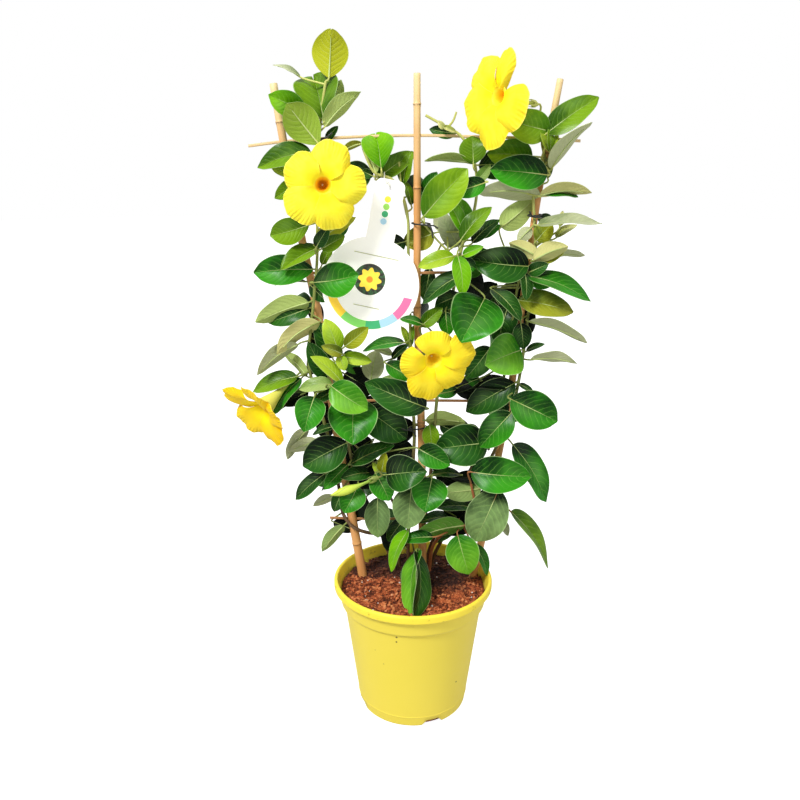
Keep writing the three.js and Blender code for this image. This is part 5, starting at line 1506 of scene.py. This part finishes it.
STEMS = {
    "leafy_stem_left": {
        "root": (-15, 40), "behind": 5, "skin": "green",
        "main": ((-18, 172, -16), (-32, 186, -4), (-48, 188, 5), (-60, 192, 9), (-69, 199, 7),
                 (-76, 212, 2), (-80, 245, -1), (-86, 282, -3), (-94, 318, 2), (-102, 348, 5),
                 (-107, 374, 5), (-106, 400, 7), (-102, 430, 10), (-99, 455, 10), (-96, 482, 7),
                 (-95, 510, 5), (-94, 545, 4), (-93, 575, 5), (-90, 602, 6), (-87, 626, 6), (-83, 648, 7)),
        "twigs": (((-80, 245, -1), (-86, 268, 8), (-92, 290, 14)),),
        "flowers": (("bloom_left", ((-94.5, 540, 4), (-92, 552, -1))),
                    ("bloom_side", ((-106, 376, 5), (-112, 373, -2)))),
    },
    "leafy_stem_left_inner": {
        "root": (-21, 30), "behind": 4, "skin": "green",
        "main": ((-28, 168, -13), (-42, 207, -10), (-54, 236, -4), (-62, 258, 2), (-68, 288, 4),
                 (-72, 318, 4), (-77, 348, 5), (-77, 375, 8), (-74, 392, 10)),
        "twigs": (((-72, 318, 4), (-66, 332, 14), (-62, 340, 20)),
                  ((-77, 348, 5), (-86, 354, 9), (-92, 350, 12))),
        "flowers": (),
    },
    "leafy_stem_centre": {
        "root": CENTRE_STEM_ROOT, "behind": 5, "skin": "green", "main": CENTRE_STEM,
        "twigs": (((-6, 520, 3), (-12, 548, 0), (-15, 576, -2)),
                  ((-3, 395, 5), (-14, 388, 9), (-22, 383, 12)),
                  ((-2, 350, 5), (-22, 352, 7), (-40, 352, 8))),
        "flowers": (),
    },
    "leafy_stem_middle": {
        "root": (7, 43), "behind": 5, "slight": (4,), "skin": "green",
        "main": ((11, 190, -15), (17, 240, -9), (21, 290, 3), (24, 336, 7), (29, 385, 4), (36, 430, 4),
                 (42, 470, 5.5), (48, 500, 6), (56, 522, 6), (60, 547, 6), (58, 572, 6), (52, 588, 6),
                 (42, 601, 6), (31, 607, 6), (10, 618, 6)),
        "twigs": (((44, 481, 6), (36, 489, 7), (22, 503, 8), (10, 517, 8)),
                  ((31, 607, 6), (36, 613, 8), (39, 621, 9))),
        "flowers": (("bloom_centre", ((31, 400, 4), (22, 408, 3))),),
    },
    "leafy_stem_right": {
        "root": (22, 38), "behind": 5, "slight": (1, 3), "skin": "green",
        "main": ((31, 178, -12), (50, 215, -7), (68, 248, -2), (81, 272, 5), (92, 298, 9), (102, 325, 9),
                 (107, 350, 5), (112, 390, 3), (115, 430, 3), (119, 470, 5), (119, 500, 8), (117, 522, 9),
                 (115, 545, 9), (119, 570, 9), (124, 590, 9), (126, 604, 9)),
        "twigs": (((124, 590, 9), (121, 597, 11), (119, 602, 12)),
                  ((119, 570, 9), (128, 577, 8), (130, 592, 7))),
        "flowers": (("bloom_top", ((119, 602, 12), (117, 615, 8))),),
    },
    "leafy_stem_right_inner": {
        "root": (15, 33), "behind": 4, "skin": "green",
        "main": ((24, 186, -8), (42, 225, -4), (58, 256, -1), (74, 290, -4), (86, 330, -4), (94, 370, -3),
                 (98, 405, 2), (101, 440, 4), (104, 462, 5)),
        "twigs": (((94, 370, -3), (84, 385, -6), (78, 396, -6)),
                  ((74, 290, -3), (78, 286, 4), (80, 284, 8))),
        "flowers": (),
    },
    "leafy_stem_low_centre": {
        "root": (-4, 31), "behind": 4, "skin": "green",
        "main": ((-6, 172, -6), (-10, 195, 2), (-22, 225, 6), (-33, 250, 8), (-35, 262, 9)),
        "twigs": (((-10, 195, 2), (2, 212, 8), (14, 238, 10), (20, 256, 10)),
                  ((-35, 262, 9), (-48, 276, 6), (-62, 290, 8))),
        "flowers": (("bud_long", ((-35, 262, 9), (-35, 258, 26))),),
    },
    "leafy_stem_low_right": {
        "root": (19, 27), "behind": 2, "skin": "red",
        "main": ((23, 174, 0), (35, 188, 6), (50, 193, 8), (60, 200, 10), (66, 222, 10), (62, 246, 10)),
        "twigs": (((66, 222, 10), (80, 232, 12), (90, 238, 12)),
                  ((60, 200, 10), (84, 208, 11), (104, 215, 8))),
        "flowers": (),
    },
    "leafy_stem_hanging": {
        "root": (0, 22), "behind": 0, "skin": "green",
        "main": ((1, 150, 1), (3, 160, 9), (5, 167, 17), (7, 168, 26)),
        "twigs": (((3, 160, 9), (-1, 178, 12), (-4, 190, 16)),),
        "flowers": (),
    },
}
# A leaf's row has its base's x and z, its tip's x and z and the width seen, as millimetres on the trellis
# plane, then how far out the base is, the lean, the side and the tone. The lean is how much of the length
# that the view hides comes forward, or plain millimetres if over 1. The side is 1 for upper, -1 for lower.
LEAVES = {
    "leafy_stem_left": (
        (-81, 652, -79, 691, 31, 7, 0, -1, "gold",
         shown(base=(329, 78), tip=(331, 31), width=37, blunt=0.35, notch=0.03)),
        (-87, 617, -96, 651, 36, 12, -0.6, 1, "leafy",
         shown(base=(324, 120), tip=(313, 76), width=46, fold=2.5, blunt=0.5, notch=0.14)),
        (-84, 607, -50, 637, 12, 12, 1, -1, "pale",
         shown(base=(325, 127), tip=(359, 92), width=17, fold=1.5)),
        (-93, 590, -127, 621, 34, 20, 0.4, -1, "leafy",
         shown(base=(319, 144), tip=(288, 105), width=36, blunt=0.4)),
        (-104, 606, -135, 637, 22, 6, -1, 1, "bright",
         shown(base=(306, 113), tip=(270, 96), width=25, blunt=0.4)),
        (-97, 598, -122, 605, 18, 0, 0, 1, "dark", shown(base=(312, 140), tip=(287, 124), width=17)),
        (-103, 640, -131, 661, 4, 2, 0, 1, "grey", shown(base=(300, 76), tip=(274, 64), width=4)),
        (-84, 622, -71, 648, 15, -2, -0.5, -1, "pale", shown(base=(330, 112), tip=(341, 81), width=17)),
        (-97, 585, -146, 571, 20, 14, 0.5, 1, "leafy",
         shown(base=(311, 152), tip=(259, 166), width=22, fold=1.5)),
        (-112, 566, -134, 569, 9, 4, 0, 1, "lime", shown(base=(296, 175), tip=(272, 168), width=12)),
        (-110, 556, -130, 545, 14, 2, 0, 1, "leafy", shown(base=(298, 182), tip=(276, 197), width=18)),
        (-101, 516, -136, 507, 22, 9, 0.6, 1, "leafy",
         shown(base=(309, 225), tip=(271, 235), width=27, blunt=0.3)),
        (-94, 500, -61, 526, 11, 16, 0.5, -1, "gold", shown(base=(316, 243), tip=(354, 217), width=18)),
        (-92, 497, -67, 507, 17, 9, 0, 1, "leafy", shown(base=(322, 249), tip=(344, 236), width=15)),
        (-96, 496, -84, 515, 13, 11, 0, 1, "dark"),
        (-101, 469, -157, 466, 25, 8, 0, 1, "mid",
         shown(base=(313, 269), tip=(256, 272), width=31, blunt=0.3)),
        (-96, 494, -126, 470, 19, 18, 0.4, 1, "leafy",
         shown(base=(319, 248), tip=(282, 269), width=18, fold=2)),
        (-108, 462, -138, 459, 4, 2, 0, 1, "dark"),
        (-97, 465, -58, 468, 31, 20, 0.5, 1, "mid",
         shown(base=(314, 282), tip=(357, 275), width=35, blunt=0.4)),
        (-103, 458, -88, 442, 15, 6, 0, 1, "dark"),
        (-105, 444, -152, 421, 25, 12, 0, -1, "pale", shown(base=(308, 302), tip=(257, 322), width=23)),
        (-98, 420, -138, 393, 17, 16, 0, -1, "tan", shown(base=(319, 322), tip=(277, 350), width=18)),
        (-112, 396, -161, 368, 13, 10, 0, -1, "grey", shown(base=(298, 344), tip=(258, 373), width=15)),
        (-109, 366, -132, 389, 13, 4, 0, -1, "pale", shown(base=(307, 376), tip=(284, 353), width=11)),
        (-120, 362, -163, 346, 17, 4, 0, 1, "leafy", shown(base=(297, 377), tip=(254, 391), width=18)),
        (-117, 360, -146, 328, 17, 14, 0, 1, "mid",
         shown(base=(301, 379), tip=(273, 413), width=16, forward=-13)),
        (-112, 346, -145, 328, 8, 4, 0, -1, "shade", shown(base=(306, 392), tip=(272, 413), width=13)),
        (-100, 292, -128, 284, 12, 6, 0, -1, "grey", shown(base=(318, 442), tip=(290, 450), width=13)),
        (-110, 308, -145, 273, 9, 4, 0, -1, "grey", shown(base=(308, 428), tip=(288, 458), width=12)),
        (-92, 258, -121, 229, 15, 10, 0, 1, "dark", shown(base=(325, 474), tip=(297, 499), width=16)),
        (-85, 231, -107, 220, 10, 2, 0, -1, "grey"),
        (-76, 197, -99, 171, 13, 8, 0, -1, "sheen", shown(base=(343, 526), tip=(323, 550), width=13)),
        added(base=(309, 308), tip=(269, 322), width=21, out=4, tone="dark"),
        added(base=(316, 330), tip=(318, 364), width=19, out=-8),
        added(base=(320, 345), tip=(311, 374), width=17, out=-6),
        added(base=(334, 522), tip=(354, 530), width=14, out=-4),
        added(base=(326, 140), tip=(337, 127), width=8, out=0, tone="dark"),
        added(base=(322, 264), tip=(331, 244), width=11, out=-2, tone="leafy"),
        added(base=(308, 392), tip=(280, 404), width=16, out=2),
        added(base=(312, 300), tip=(320, 325), width=16, out=-6),
    ),
    "leafy_stem_left_inner": (
        (-74, 392, -92, 420, 17, 22, 0, 1, "lime", shown(base=(338, 350), tip=(326, 320), width=20)),
        (-69, 396, -49, 415, 15, 24, 0, 1, "gold", shown(base=(345, 346), tip=(367, 328), width=17)),
        (-72, 385, -44, 380, 14, 26, 0, 1, "lime"), (-73, 388, -93, 396, 12, 24, 0, 1, "olive"),
        (-76, 386, -71, 371, 12, 22, 0.5, 1, "lime"),
        (-76, 359, -103, 383, 11, 28, 0, 1, "lime", shown(base=(342, 382), tip=(312, 357), width=14)),
        (-85, 358, -118, 352, 18, 18, 0, 1, "pale", shown(base=(332, 384), tip=(299, 388), width=15)),
        (-88, 364, -106, 399, 24, 8, 0, 1, "dark", shown(base=(328, 377), tip=(309, 343), width=22)),
        (-82, 384, -98, 419, 21, 6, 0, 1, "dark", shown(base=(333, 358), tip=(317, 322), width=20)),
        (-80, 350, -103, 338, 12, 10, 0, 1, "dark"),
        (-85, 352, -54, 325, 29, 36, 0.6, 1, "fresh", shown(base=(331, 386), tip=(366, 409), width=31)),
        (-65, 341, -63, 294, 50, 24, 0.7, 1, "mid",
         shown(base=(354, 398), tip=(353, 442), width=49, blunt=0.15)),
        (-98, 345, -110, 307, 29, 20, 0.5, 1, "mid", shown(base=(314, 397), tip=(305, 430), width=29)),
        (-45, 311, -9, 296, 26, 10, 0, 1, "dark", shown(base=(365, 409), tip=(406, 438), width=38)),
        (-82, 310, -105, 301, 8, 6, 0, 1, "dark"),
        (-70, 292, -109, 261, 34, 24, 0.6, 1, "dark",
         shown(base=(347, 443), tip=(304, 466), width=36, blunt=0.2)),
        (-70, 267, -95, 240, 16, 10, 0, 1, "mid"), (-83, 250, -98, 238, 5, 4, 0, 1, "dark"),
        (-60, 242, -74, 213, 28, 26, 0.7, 1, "mid"), (-76, 238, -85, 214, 15, 8, 0, 1, "dark"),
        (-45, 258, -76, 252, 16, 4, 0, 1, "dark"),
        added(base=(345, 374), tip=(373, 392), width=30, out=-4),
        added(base=(330, 402), tip=(324, 438), width=24, out=-8),
        added(base=(362, 398), tip=(387, 432), width=36, out=-4),
        added(base=(342, 445), tip=(368, 470), width=28, out=-6),
        added(base=(345, 470), tip=(374, 486), width=20, out=-4),
    ),
    "leafy_stem_centre": (
        (-33, 571, -38, 600, 26, 14, -0.5, 1, "bright",
         shown(base=(381, 168), tip=(376, 133), width=33, fold=2.5, blunt=0.5, notch=0.12)),
        (-37, 566, -49, 593, 11, 16, 0, -1, "pale"),
        (-36, 563, -2, 584, 14, 10, 0, 1, "leafy", shown(base=(378, 178), tip=(414, 152), width=20)),
        (-50, 593, -71, 585, 7, 8, 0, -1, "olive"), (-40, 563, -50, 568, 9, 2, 0, 1, "dark"),
        (-12, 402, -50, 395, 12, 20, 0, 1, "mid", shown(base=(404, 342), tip=(364, 349), width=11)),
        (-22, 387, -42, 395, 8, 12, 0, -1, "grey"), (-28, 378, -1, 362, 18, 22, 0, 1, "mid"),
        (-22, 383, -6, 398, 8, 16, 0, 1, "dark"), (-38, 350, -11, 363, 18, 12, 0, 1, "pale"),
        (-43, 362, -39, 390, 17, 4, 0, -1, "grey", shown(base=(371, 380), tip=(376, 351), width=23)),
        (7, 331, -47, 357, 30, 26, 0.3, 1, "dark", shown(base=(426, 407), tip=(367, 383), width=34)),
        added(base=(404, 350), tip=(410, 374), width=18, out=-6),
        added(base=(414, 425), tip=(378, 438), width=26, out=-8),
        added(base=(413, 448), tip=(384, 456), width=24, out=-6),
        added(base=(411, 498), tip=(425, 520), width=16, out=-8),
        added(base=(403, 184), tip=(412, 152), width=14, out=-4, tone="leafy"),
        added(base=(409, 346), tip=(401, 327), width=7, out=4, tone="lime"),
        added(base=(412, 344), tip=(414, 326), width=6, out=6, tone="leafy"),
        added(base=(411, 205), tip=(404, 180), width=8, out=-4, tone="leafy"),
    ),
    "leafy_stem_middle": (
        (74, 438, 55, 403, 43, 26, 0.5, 1, "mid",
         shown(base=(484, 299), tip=(462, 340), width=54, fold=2, blunt=0.1)),
        (38, 428, 34, 408, 14, 12, 0, 1, "mid", shown(base=(446, 312), tip=(448, 335), width=16)),
        (45, 448, 22, 438, 19, 6, 0, 1, "dark"), (50, 470, 10, 441, 17, 16, 0, 1, "dark"),
        (43, 487, 49, 449, 18, 24, 0, 1, "bright"), (39, 487, 5, 477, 16, 14, 0, 1, "lime"),
        (47, 511, 30, 542, 13, 20, 0, 1, "bright"),
        (50, 511, 44, 540, 16, 10, 0, 1, "fresh", shown(base=(467, 231), tip=(461, 200), width=19)),
        (46, 503, 73, 534, 17, 26, 0, 1, "leafy"), (57, 500, 81, 522, 13, 10, 0, 1, "dark"),
        (66, 505, 84, 517, 10, 4, 0, 1, "mid"), (48, 488, 67, 496, 10, 20, 0, 1, "bright"),
        (12, 526, 48, 566, 27, 18, 0, 1, "limy",
         shown(base=(424, 217), tip=(466, 171), width=36, blunt=0.2)),
        (10, 547, 22, 566, 12, -4, 0, 1, "mid", shown(base=(424, 193), tip=(437, 173), width=16)),
        (66, 557, 36, 550, 16, 20, 0, 1, "mid", shown(base=(485, 183), tip=(451, 192), width=20)),
        (60, 560, 73, 573, 8, 8, 0, 1, "pale", shown(base=(477, 181), tip=(490, 165), width=12)),
        (53, 575, 11, 578, 8, 10, 0, -1, "pale"),
        (57, 576, 56, 598, 25, 14, -0.5, 1, "leafy",
         shown(base=(473, 164), tip=(472, 137), width=28, blunt=0.2)),
        (20, 515, 32, 530, 15, -6, 0, -1, "grey", shown(base=(446, 232), tip=(438, 210), width=18)),
        (30, 499, 52, 504, 13, -6, 0, -1, "grey"),
        (17, 510, -11, 499, 20, -9, 0, 1, "olive", shown(base=(434, 233), tip=(404, 243), width=25)),
        (8, 419, -13, 425, 9, 16, 0, 1, "mid"),
        (9, 417, 27, 432, 12, 14, 0, 1, "leafy", shown(base=(422, 326), tip=(442, 308), width=15)),
        (45, 350, 24, 345, 13, 8, 0, 1, "mid"),
        (14, 318, 52, 314, 12, 8, 0, -1, "pale", shown(base=(426, 420), tip=(464, 422), width=14)),
        (17, 309, 21, 288, 12, 8, 0, 1, "limy", shown(base=(430, 425), tip=(432, 448), width=17)),
        (28, 606, 22, 613, 6, 8, 0, 1, "tan"), (27, 608, 38, 603, 5, 8, 0, 1, "tan"),
        added(base=(462, 268), tip=(479, 294), width=26, out=-6),
        added(base=(468, 302), tip=(496, 284), width=22, out=-8),
        added(base=(446, 440), tip=(436, 472), width=22, out=-8),
        added(base=(459, 262), tip=(476, 268), width=16, out=14, tone="mid"),
        added(base=(454, 384), tip=(482, 396), width=17, out=-4),
        added(base=(440, 425), tip=(458, 432), width=14, out=-4, tone="dark"),
        added(base=(436, 472), tip=(458, 484), width=14, out=-6),
        added(base=(430, 268), tip=(424, 300), width=16, out=-8, tone="dark"),
        added(base=(458, 246), tip=(441, 214), width=22, out=-8, tone="grey"),
        added(base=(452, 300), tip=(438, 322), width=22, out=-6, tone="dark"),
        added(base=(470, 262), tip=(486, 250), width=16, out=4, tone="mid"),
        added(base=(480, 381), tip=(446, 393), width=14, out=6),
        added(base=(450, 420), tip=(470, 432), width=14, out=-6),
    ),
    "leafy_stem_right": (
        # Painted light: this leaf takes the limy tone to lift it out of the top bloom's shadow.
        (125, 603, 87, 618, 27, 12, 0, 1, "limy", shown(base=(549, 131), tip=(506, 119), width=33)),
        (130, 600, 173, 632, 24, 14, 0, 1, "leafy", shown(base=(547, 133), tip=(597, 97), width=27)),
        (131, 575, 163, 611, 9, 6, 0, -1, "grey", shown(base=(552, 168), tip=(590, 123), width=13)),
        (124, 556, 74, 562, 33, 16, -0.3, 1, "mid", shown(base=(547, 175), tip=(492, 170), width=34)),
        (117, 549, 66, 551, 16, 24, 0, -1, "grey", shown(base=(540, 196), tip=(481, 191), width=21)),
        # Painted light: this leaf takes the limy tone to lift it out of the top bloom's shadow.
        (112, 579, 73, 579, 21, 2, 0, 1, "limy", shown(base=(532, 156), tip=(489, 154), width=30)),
        (121, 548, 167, 554, 11, 12, 0, -1, "tan", shown(base=(540, 195), tip=(590, 191), width=13)),
        (122, 546, 157, 545, 9, 4, 0, 1, "mid"), (114, 514, 102, 501, 13, 12, 0, -1, "grey"),
        (118, 524, 181, 522, 8, 10, 0, 1, "grey", shown(base=(538, 225), tip=(600, 224), width=10)),
        (119, 504, 131, 521, 15, 16, 0, 1, "gold", shown(base=(537, 241), tip=(552, 224), width=20)),
        (122, 508, 155, 517, 6, 12, 0, 1, "tan", shown(base=(556, 237), tip=(576, 225), width=8)),
        (120, 490, 97, 501, 15, 18, 0, -1, "tan",
         shown(base=(538, 257), tip=(510, 243), width=16, fold=2)),
        (122, 489, 148, 497, 14, 18, 0, -1, "tan",
         shown(base=(534, 260), tip=(567, 247), width=18, fold=2)),
        (122, 484, 142, 491, 12, 12, 0, 1, "olive", shown(base=(540, 263), tip=(563, 252), width=11)),
        (124, 483, 163, 488, 5, 4, 0, -1, "grey", shown(base=(545, 259), tip=(583, 253), width=8)),
        (114, 471, 132, 479, 14, 14, 0, 1, "dark"),
        (114, 468, 175, 449, 17, 16, 0.3, 1, "mid", shown(base=(529, 276), tip=(590, 296), width=17)),
        (115, 464, 136, 458, 13, 6, 0, 1, "mid"), (110, 470, 112, 444, 12, 16, 0, 1, "dark"),
        (104, 443, 153, 430, 26, 10, 0, 1, "olive", shown(base=(519, 300), tip=(571, 312), width=25)),
        (117, 420, 171, 400, 8, 10, 0.3, -1, "grey", shown(base=(529, 321), tip=(585, 342), width=10)),
        (108, 420, 112, 394, 19, 8, 0, 1, "dark"),
        (117, 378, 167, 377, 8, 12, 0, -1, "grey", shown(base=(531, 360), tip=(576, 362), width=10)),
        (109, 356, 124, 346, 6, 12, 0, 1, "dark"),
        (102, 338, 149, 313, 36, 20, 0.3, 1, "mid",
         shown(base=(511, 399), tip=(557, 421), width=37, blunt=0.1)),
        (102, 325, 71, 288, 31, 30, 0.5, 1, "mid"),
        (102, 352, 60, 322, 38, 22, 0.4, 1, "dark", shown(base=(514, 383), tip=(467, 411), width=31)),
        (104, 395, 74, 376, 37, 26, 0.5, 1, "fresh", shown(base=(521, 350), tip=(486, 364), width=43)),
        (101, 286, 140, 227, 25, 14, 0, 1, "mid", shown(base=(513, 445), tip=(546, 500), width=25)),
        added(base=(522, 284), tip=(498, 316), width=32, out=-10),
        added(base=(523, 318), tip=(496, 346), width=30, out=-10),
        added(base=(520, 300), tip=(530, 334), width=20, out=-6),
        added(base=(513, 386), tip=(470, 385), width=15, out=8),
        added(base=(560, 226), tip=(563, 211), width=7, out=8, tone="tan"),
        added(base=(549, 151), tip=(541, 133), width=7, out=14, tone="lime"),
        added(base=(550, 151), tip=(549, 130), width=7, out=16, tone="limy"),
        added(base=(552, 151), tip=(557, 134), width=7, out=14, tone="lime"),
        added(base=(548, 178), tip=(541, 142), width=9, out=2, tone="olive"),
        added(base=(553, 160), tip=(558, 140), width=7, out=6, tone="olive"),
    ),
    "leafy_stem_right_inner": (
        (108, 467, 62, 472, 33, 20, 0.3, 1, "dark",
         shown(base=(528, 266), tip=(474, 260), width=36, fold=2)),
        (95, 440, 85, 400, 28, -6, 0, 1, "dark"), (78, 454, 107, 424, 15, 16, 0, 1, "dark"),
        (78, 395, 55, 364, 25, 6, 0, 1, "dark"), (68, 362, 40, 350, 14, 8, 0, 1, "mid"),
        (80, 452, 104, 425, 16, -10, 0, 1, "dark"),
        (83, 512, 114, 536, 23, 4, 0, -1, "pale", shown(base=(501, 227), tip=(533, 200), width=25)),
        (77, 287, 24, 287, 42, 12, 0, 1, "dark", shown(base=(487, 443), tip=(436, 449), width=42)),
        (96, 425, 78, 446, 18, -12, 0, 1, "dark"), (86, 330, 62, 345, 18, -10, 0, 1, "dark"),
    ),
    "leafy_stem_low_centre": (
        (-40, 257, -26, 227, 26, 26, 0.5, 1, "mid"), (-28, 256, 11, 260, 38, 28, 0.5, 1, "dark"),
        (-38, 228, -41, 185, 24, 18, 0, 1, "sheen", shown(base=(378, 498), tip=(378, 536), width=25)),
        (-2, 238, -6, 193, 36, 24, 0.4, 1, "sheen", shown(base=(411, 488), tip=(407, 528), width=34)),
        (-8, 206, -27, 178, 17, 4, 0, 1, "dark"),
        (20, 252, 14, 214, 36, 28, 0.6, 1, "mid", shown(base=(432, 478), tip=(425, 511), width=37)),
        (6, 285, 38, 267, 25, 18, 0, 1, "mid"), (-66, 268, -22, 289, 18, 14, 0, 1, "dark"),
        (-34, 256, -28, 281, 9, 20, 0, 1, "gold", shown(base=(381, 475), tip=(385, 453), width=12)),
        (-34, 256, -43, 269, 8, 20, 0, 1, "lime"), (50, 256, 19, 256, 10, 6, 0, 1, "dark"),
        (45, 206, 7, 203, 12, 2, 0, 1, "dark"),
        added(base=(404, 548), tip=(384, 524), width=28, out=-4),
        added(base=(366, 498), tip=(350, 520), width=22, out=-6),
        added(base=(377, 461), tip=(348, 480), width=28, out=0),
        added(base=(372, 440), tip=(352, 452), width=22, out=-8),
    ),
    "leafy_stem_low_right": (
        (50, 184, 62, 143, 37, 22, 0.5, 1, "fresh", shown(base=(458, 535), tip=(469, 573), width=34)),
        (66, 174, 84, 138, 12, 10, 0, 1, "mid"),
        (90, 240, 67, 180, 42, 26, 0, 1, "sheen",
         shown(base=(499, 489), tip=(475, 541), width=42, blunt=0.1)),
        (61, 257, 121, 253, 39, 26, 0, 1, "mid", shown(base=(471, 472), tip=(529, 476), width=37)),
        (107, 214, 152, 152, 14, 12, 0, 1, "leafy", shown(base=(511, 512), tip=(549, 566), width=14)),
        (73, 240, 34, 235, 23, 8, 0, -1, "sheen"), (65, 218, 25, 219, 14, 4, 0, 1, "dark"),
        (39, 198, 2, 183, 16, 20, 0, -1, "mid", shown(base=(464, 525), tip=(414, 537), width=18)),
        (22, 183, -12, 180, 14, 14, 0, 1, "mid"),
        added(base=(478, 498), tip=(444, 532), width=36, out=-4),
        added(base=(482, 480), tip=(452, 478), width=13, out=2),
        added(base=(500, 520), tip=(508, 535), width=8, out=0, tone="grey"),
    ),
    "leafy_stem_hanging": (
        (7, 164, -6, 92, 24, 30, 52, 1, "fresh", shown(base=(419, 550), tip=(410, 613), width=15)),
        (10, 162, 14, 84, 21, 36, 58, 1, "dark", shown(base=(416, 552), tip=(418, 617), width=15)),
        (3, 160, -9, 113, 12, 26, 36, 1, "dark"), (-5, 191, -25, 143, 14, 18, 12, 1, "bright"),
    ),
}
leaf_draw = np.random.default_rng(LEAF_SEED)
back_state = BACK_LEAF_SEED
bud_axis = unit(bud_tip - bud_root)
seats = {"bud_long": (bud_root, bud_axis)}
for name, bloom in BLOOMS.items():
    mouth, _, _, axis = bloom_frame(bloom["throat"], bloom["facing"])
    seats[name] = (mouth - axis * TUBE_LENGTH, axis)

for name, stem in STEMS.items():
    leaves = list(LEAVES[name])
    for index in range(stem["behind"]):
        share = 0.25 + 0.7 * (index + 0.5) / stem["behind"]
        x, z, out = stem["main"][int(share * (len(stem["main"]) - 1) + 0.5)]
        way = 1 if index % 2 else -1
        drawn = []
        for _ in range(3):
            back_state = back_state * DRAW_FACTOR % DRAW_ROUND
            drawn.append(back_state / DRAW_ROUND)
        # Painted shade: back leaves low down take the behind tone, whose near-black underside faces the
        # front.
        tone = "behind" if z < SHADE_HEIGHT else "dark"
        narrower = BACK_LEAF_NARROWER if index in stem.get("slight", ()) else 0
        tip_x = x + way * BACK_LEAF_REACH * (1 + drawn[0])
        width = BACK_LEAF_WIDTH + 8 * drawn[2]
        leaves.append((x + way * 3, z + 1, tip_x, z - 6 + 24 * drawn[1], width, out - BACK_LEAF_BEHIND,
                       BACK_LEAF_LEAN, 1, tone, {"narrower": narrower}))
    tones = sorted({leaf[8] for leaf in leaves})
    foot = [(*stem["root"], z) for z in STEM_FOOT]
    lines = [smooth_line([*foot, *[seen(*place) for place in stem["main"]]], STEM_STEP)]
    lines += [smooth_line([seen(*place) for place in twig], STEM_STEP) for twig in stem["twigs"]]
    form = Form()
    for flower, stalk in stem["flowers"]:
        seat, axis = seats[flower]
        stalk_line = [*[seen(*place) for place in stalk], seat - axis * 9, seat - axis * 2]
        lines.append(smooth_line(stalk_line, STEM_STEP))
        add_calyx(form, seat, axis)
    for index, line in enumerate(lines):
        tip_radius = STEM_TIP_RADIUS if index == 0 else 0.8 * TWIG_RADIUS
        radii = np.linspace(STEM_FOOT_RADIUS if index == 0 else TWIG_RADIUS, tip_radius, len(line))
        form.loft(swept(line, radii, STEM_SIDES), 0, {"young": 0.0 if index == 0 else 0.5})
    samples = np.concatenate(lines)
    tree = KDTree(len(bpy.data.objects[name].data.vertices))
    for index, vertex in enumerate(bpy.data.objects[name].data.vertices):
        tree.insert(vertex.co, index)
    tree.balance()
    for row in leaves:
        leaf = settled(row, tree)
        grid = LARGE_GRID if leaf.width > LARGE_LEAF else SMALL_GRID
        add_leaf(form, leaf, 1 + tones.index(row[8]), leaf_draw, samples, *grid)
    materials = [stem_materials[stem["skin"]], *[leaf_materials[tone] for tone in tones]]
    form.make(name + "_fine", materials, "foliage", [name], sharp=55)
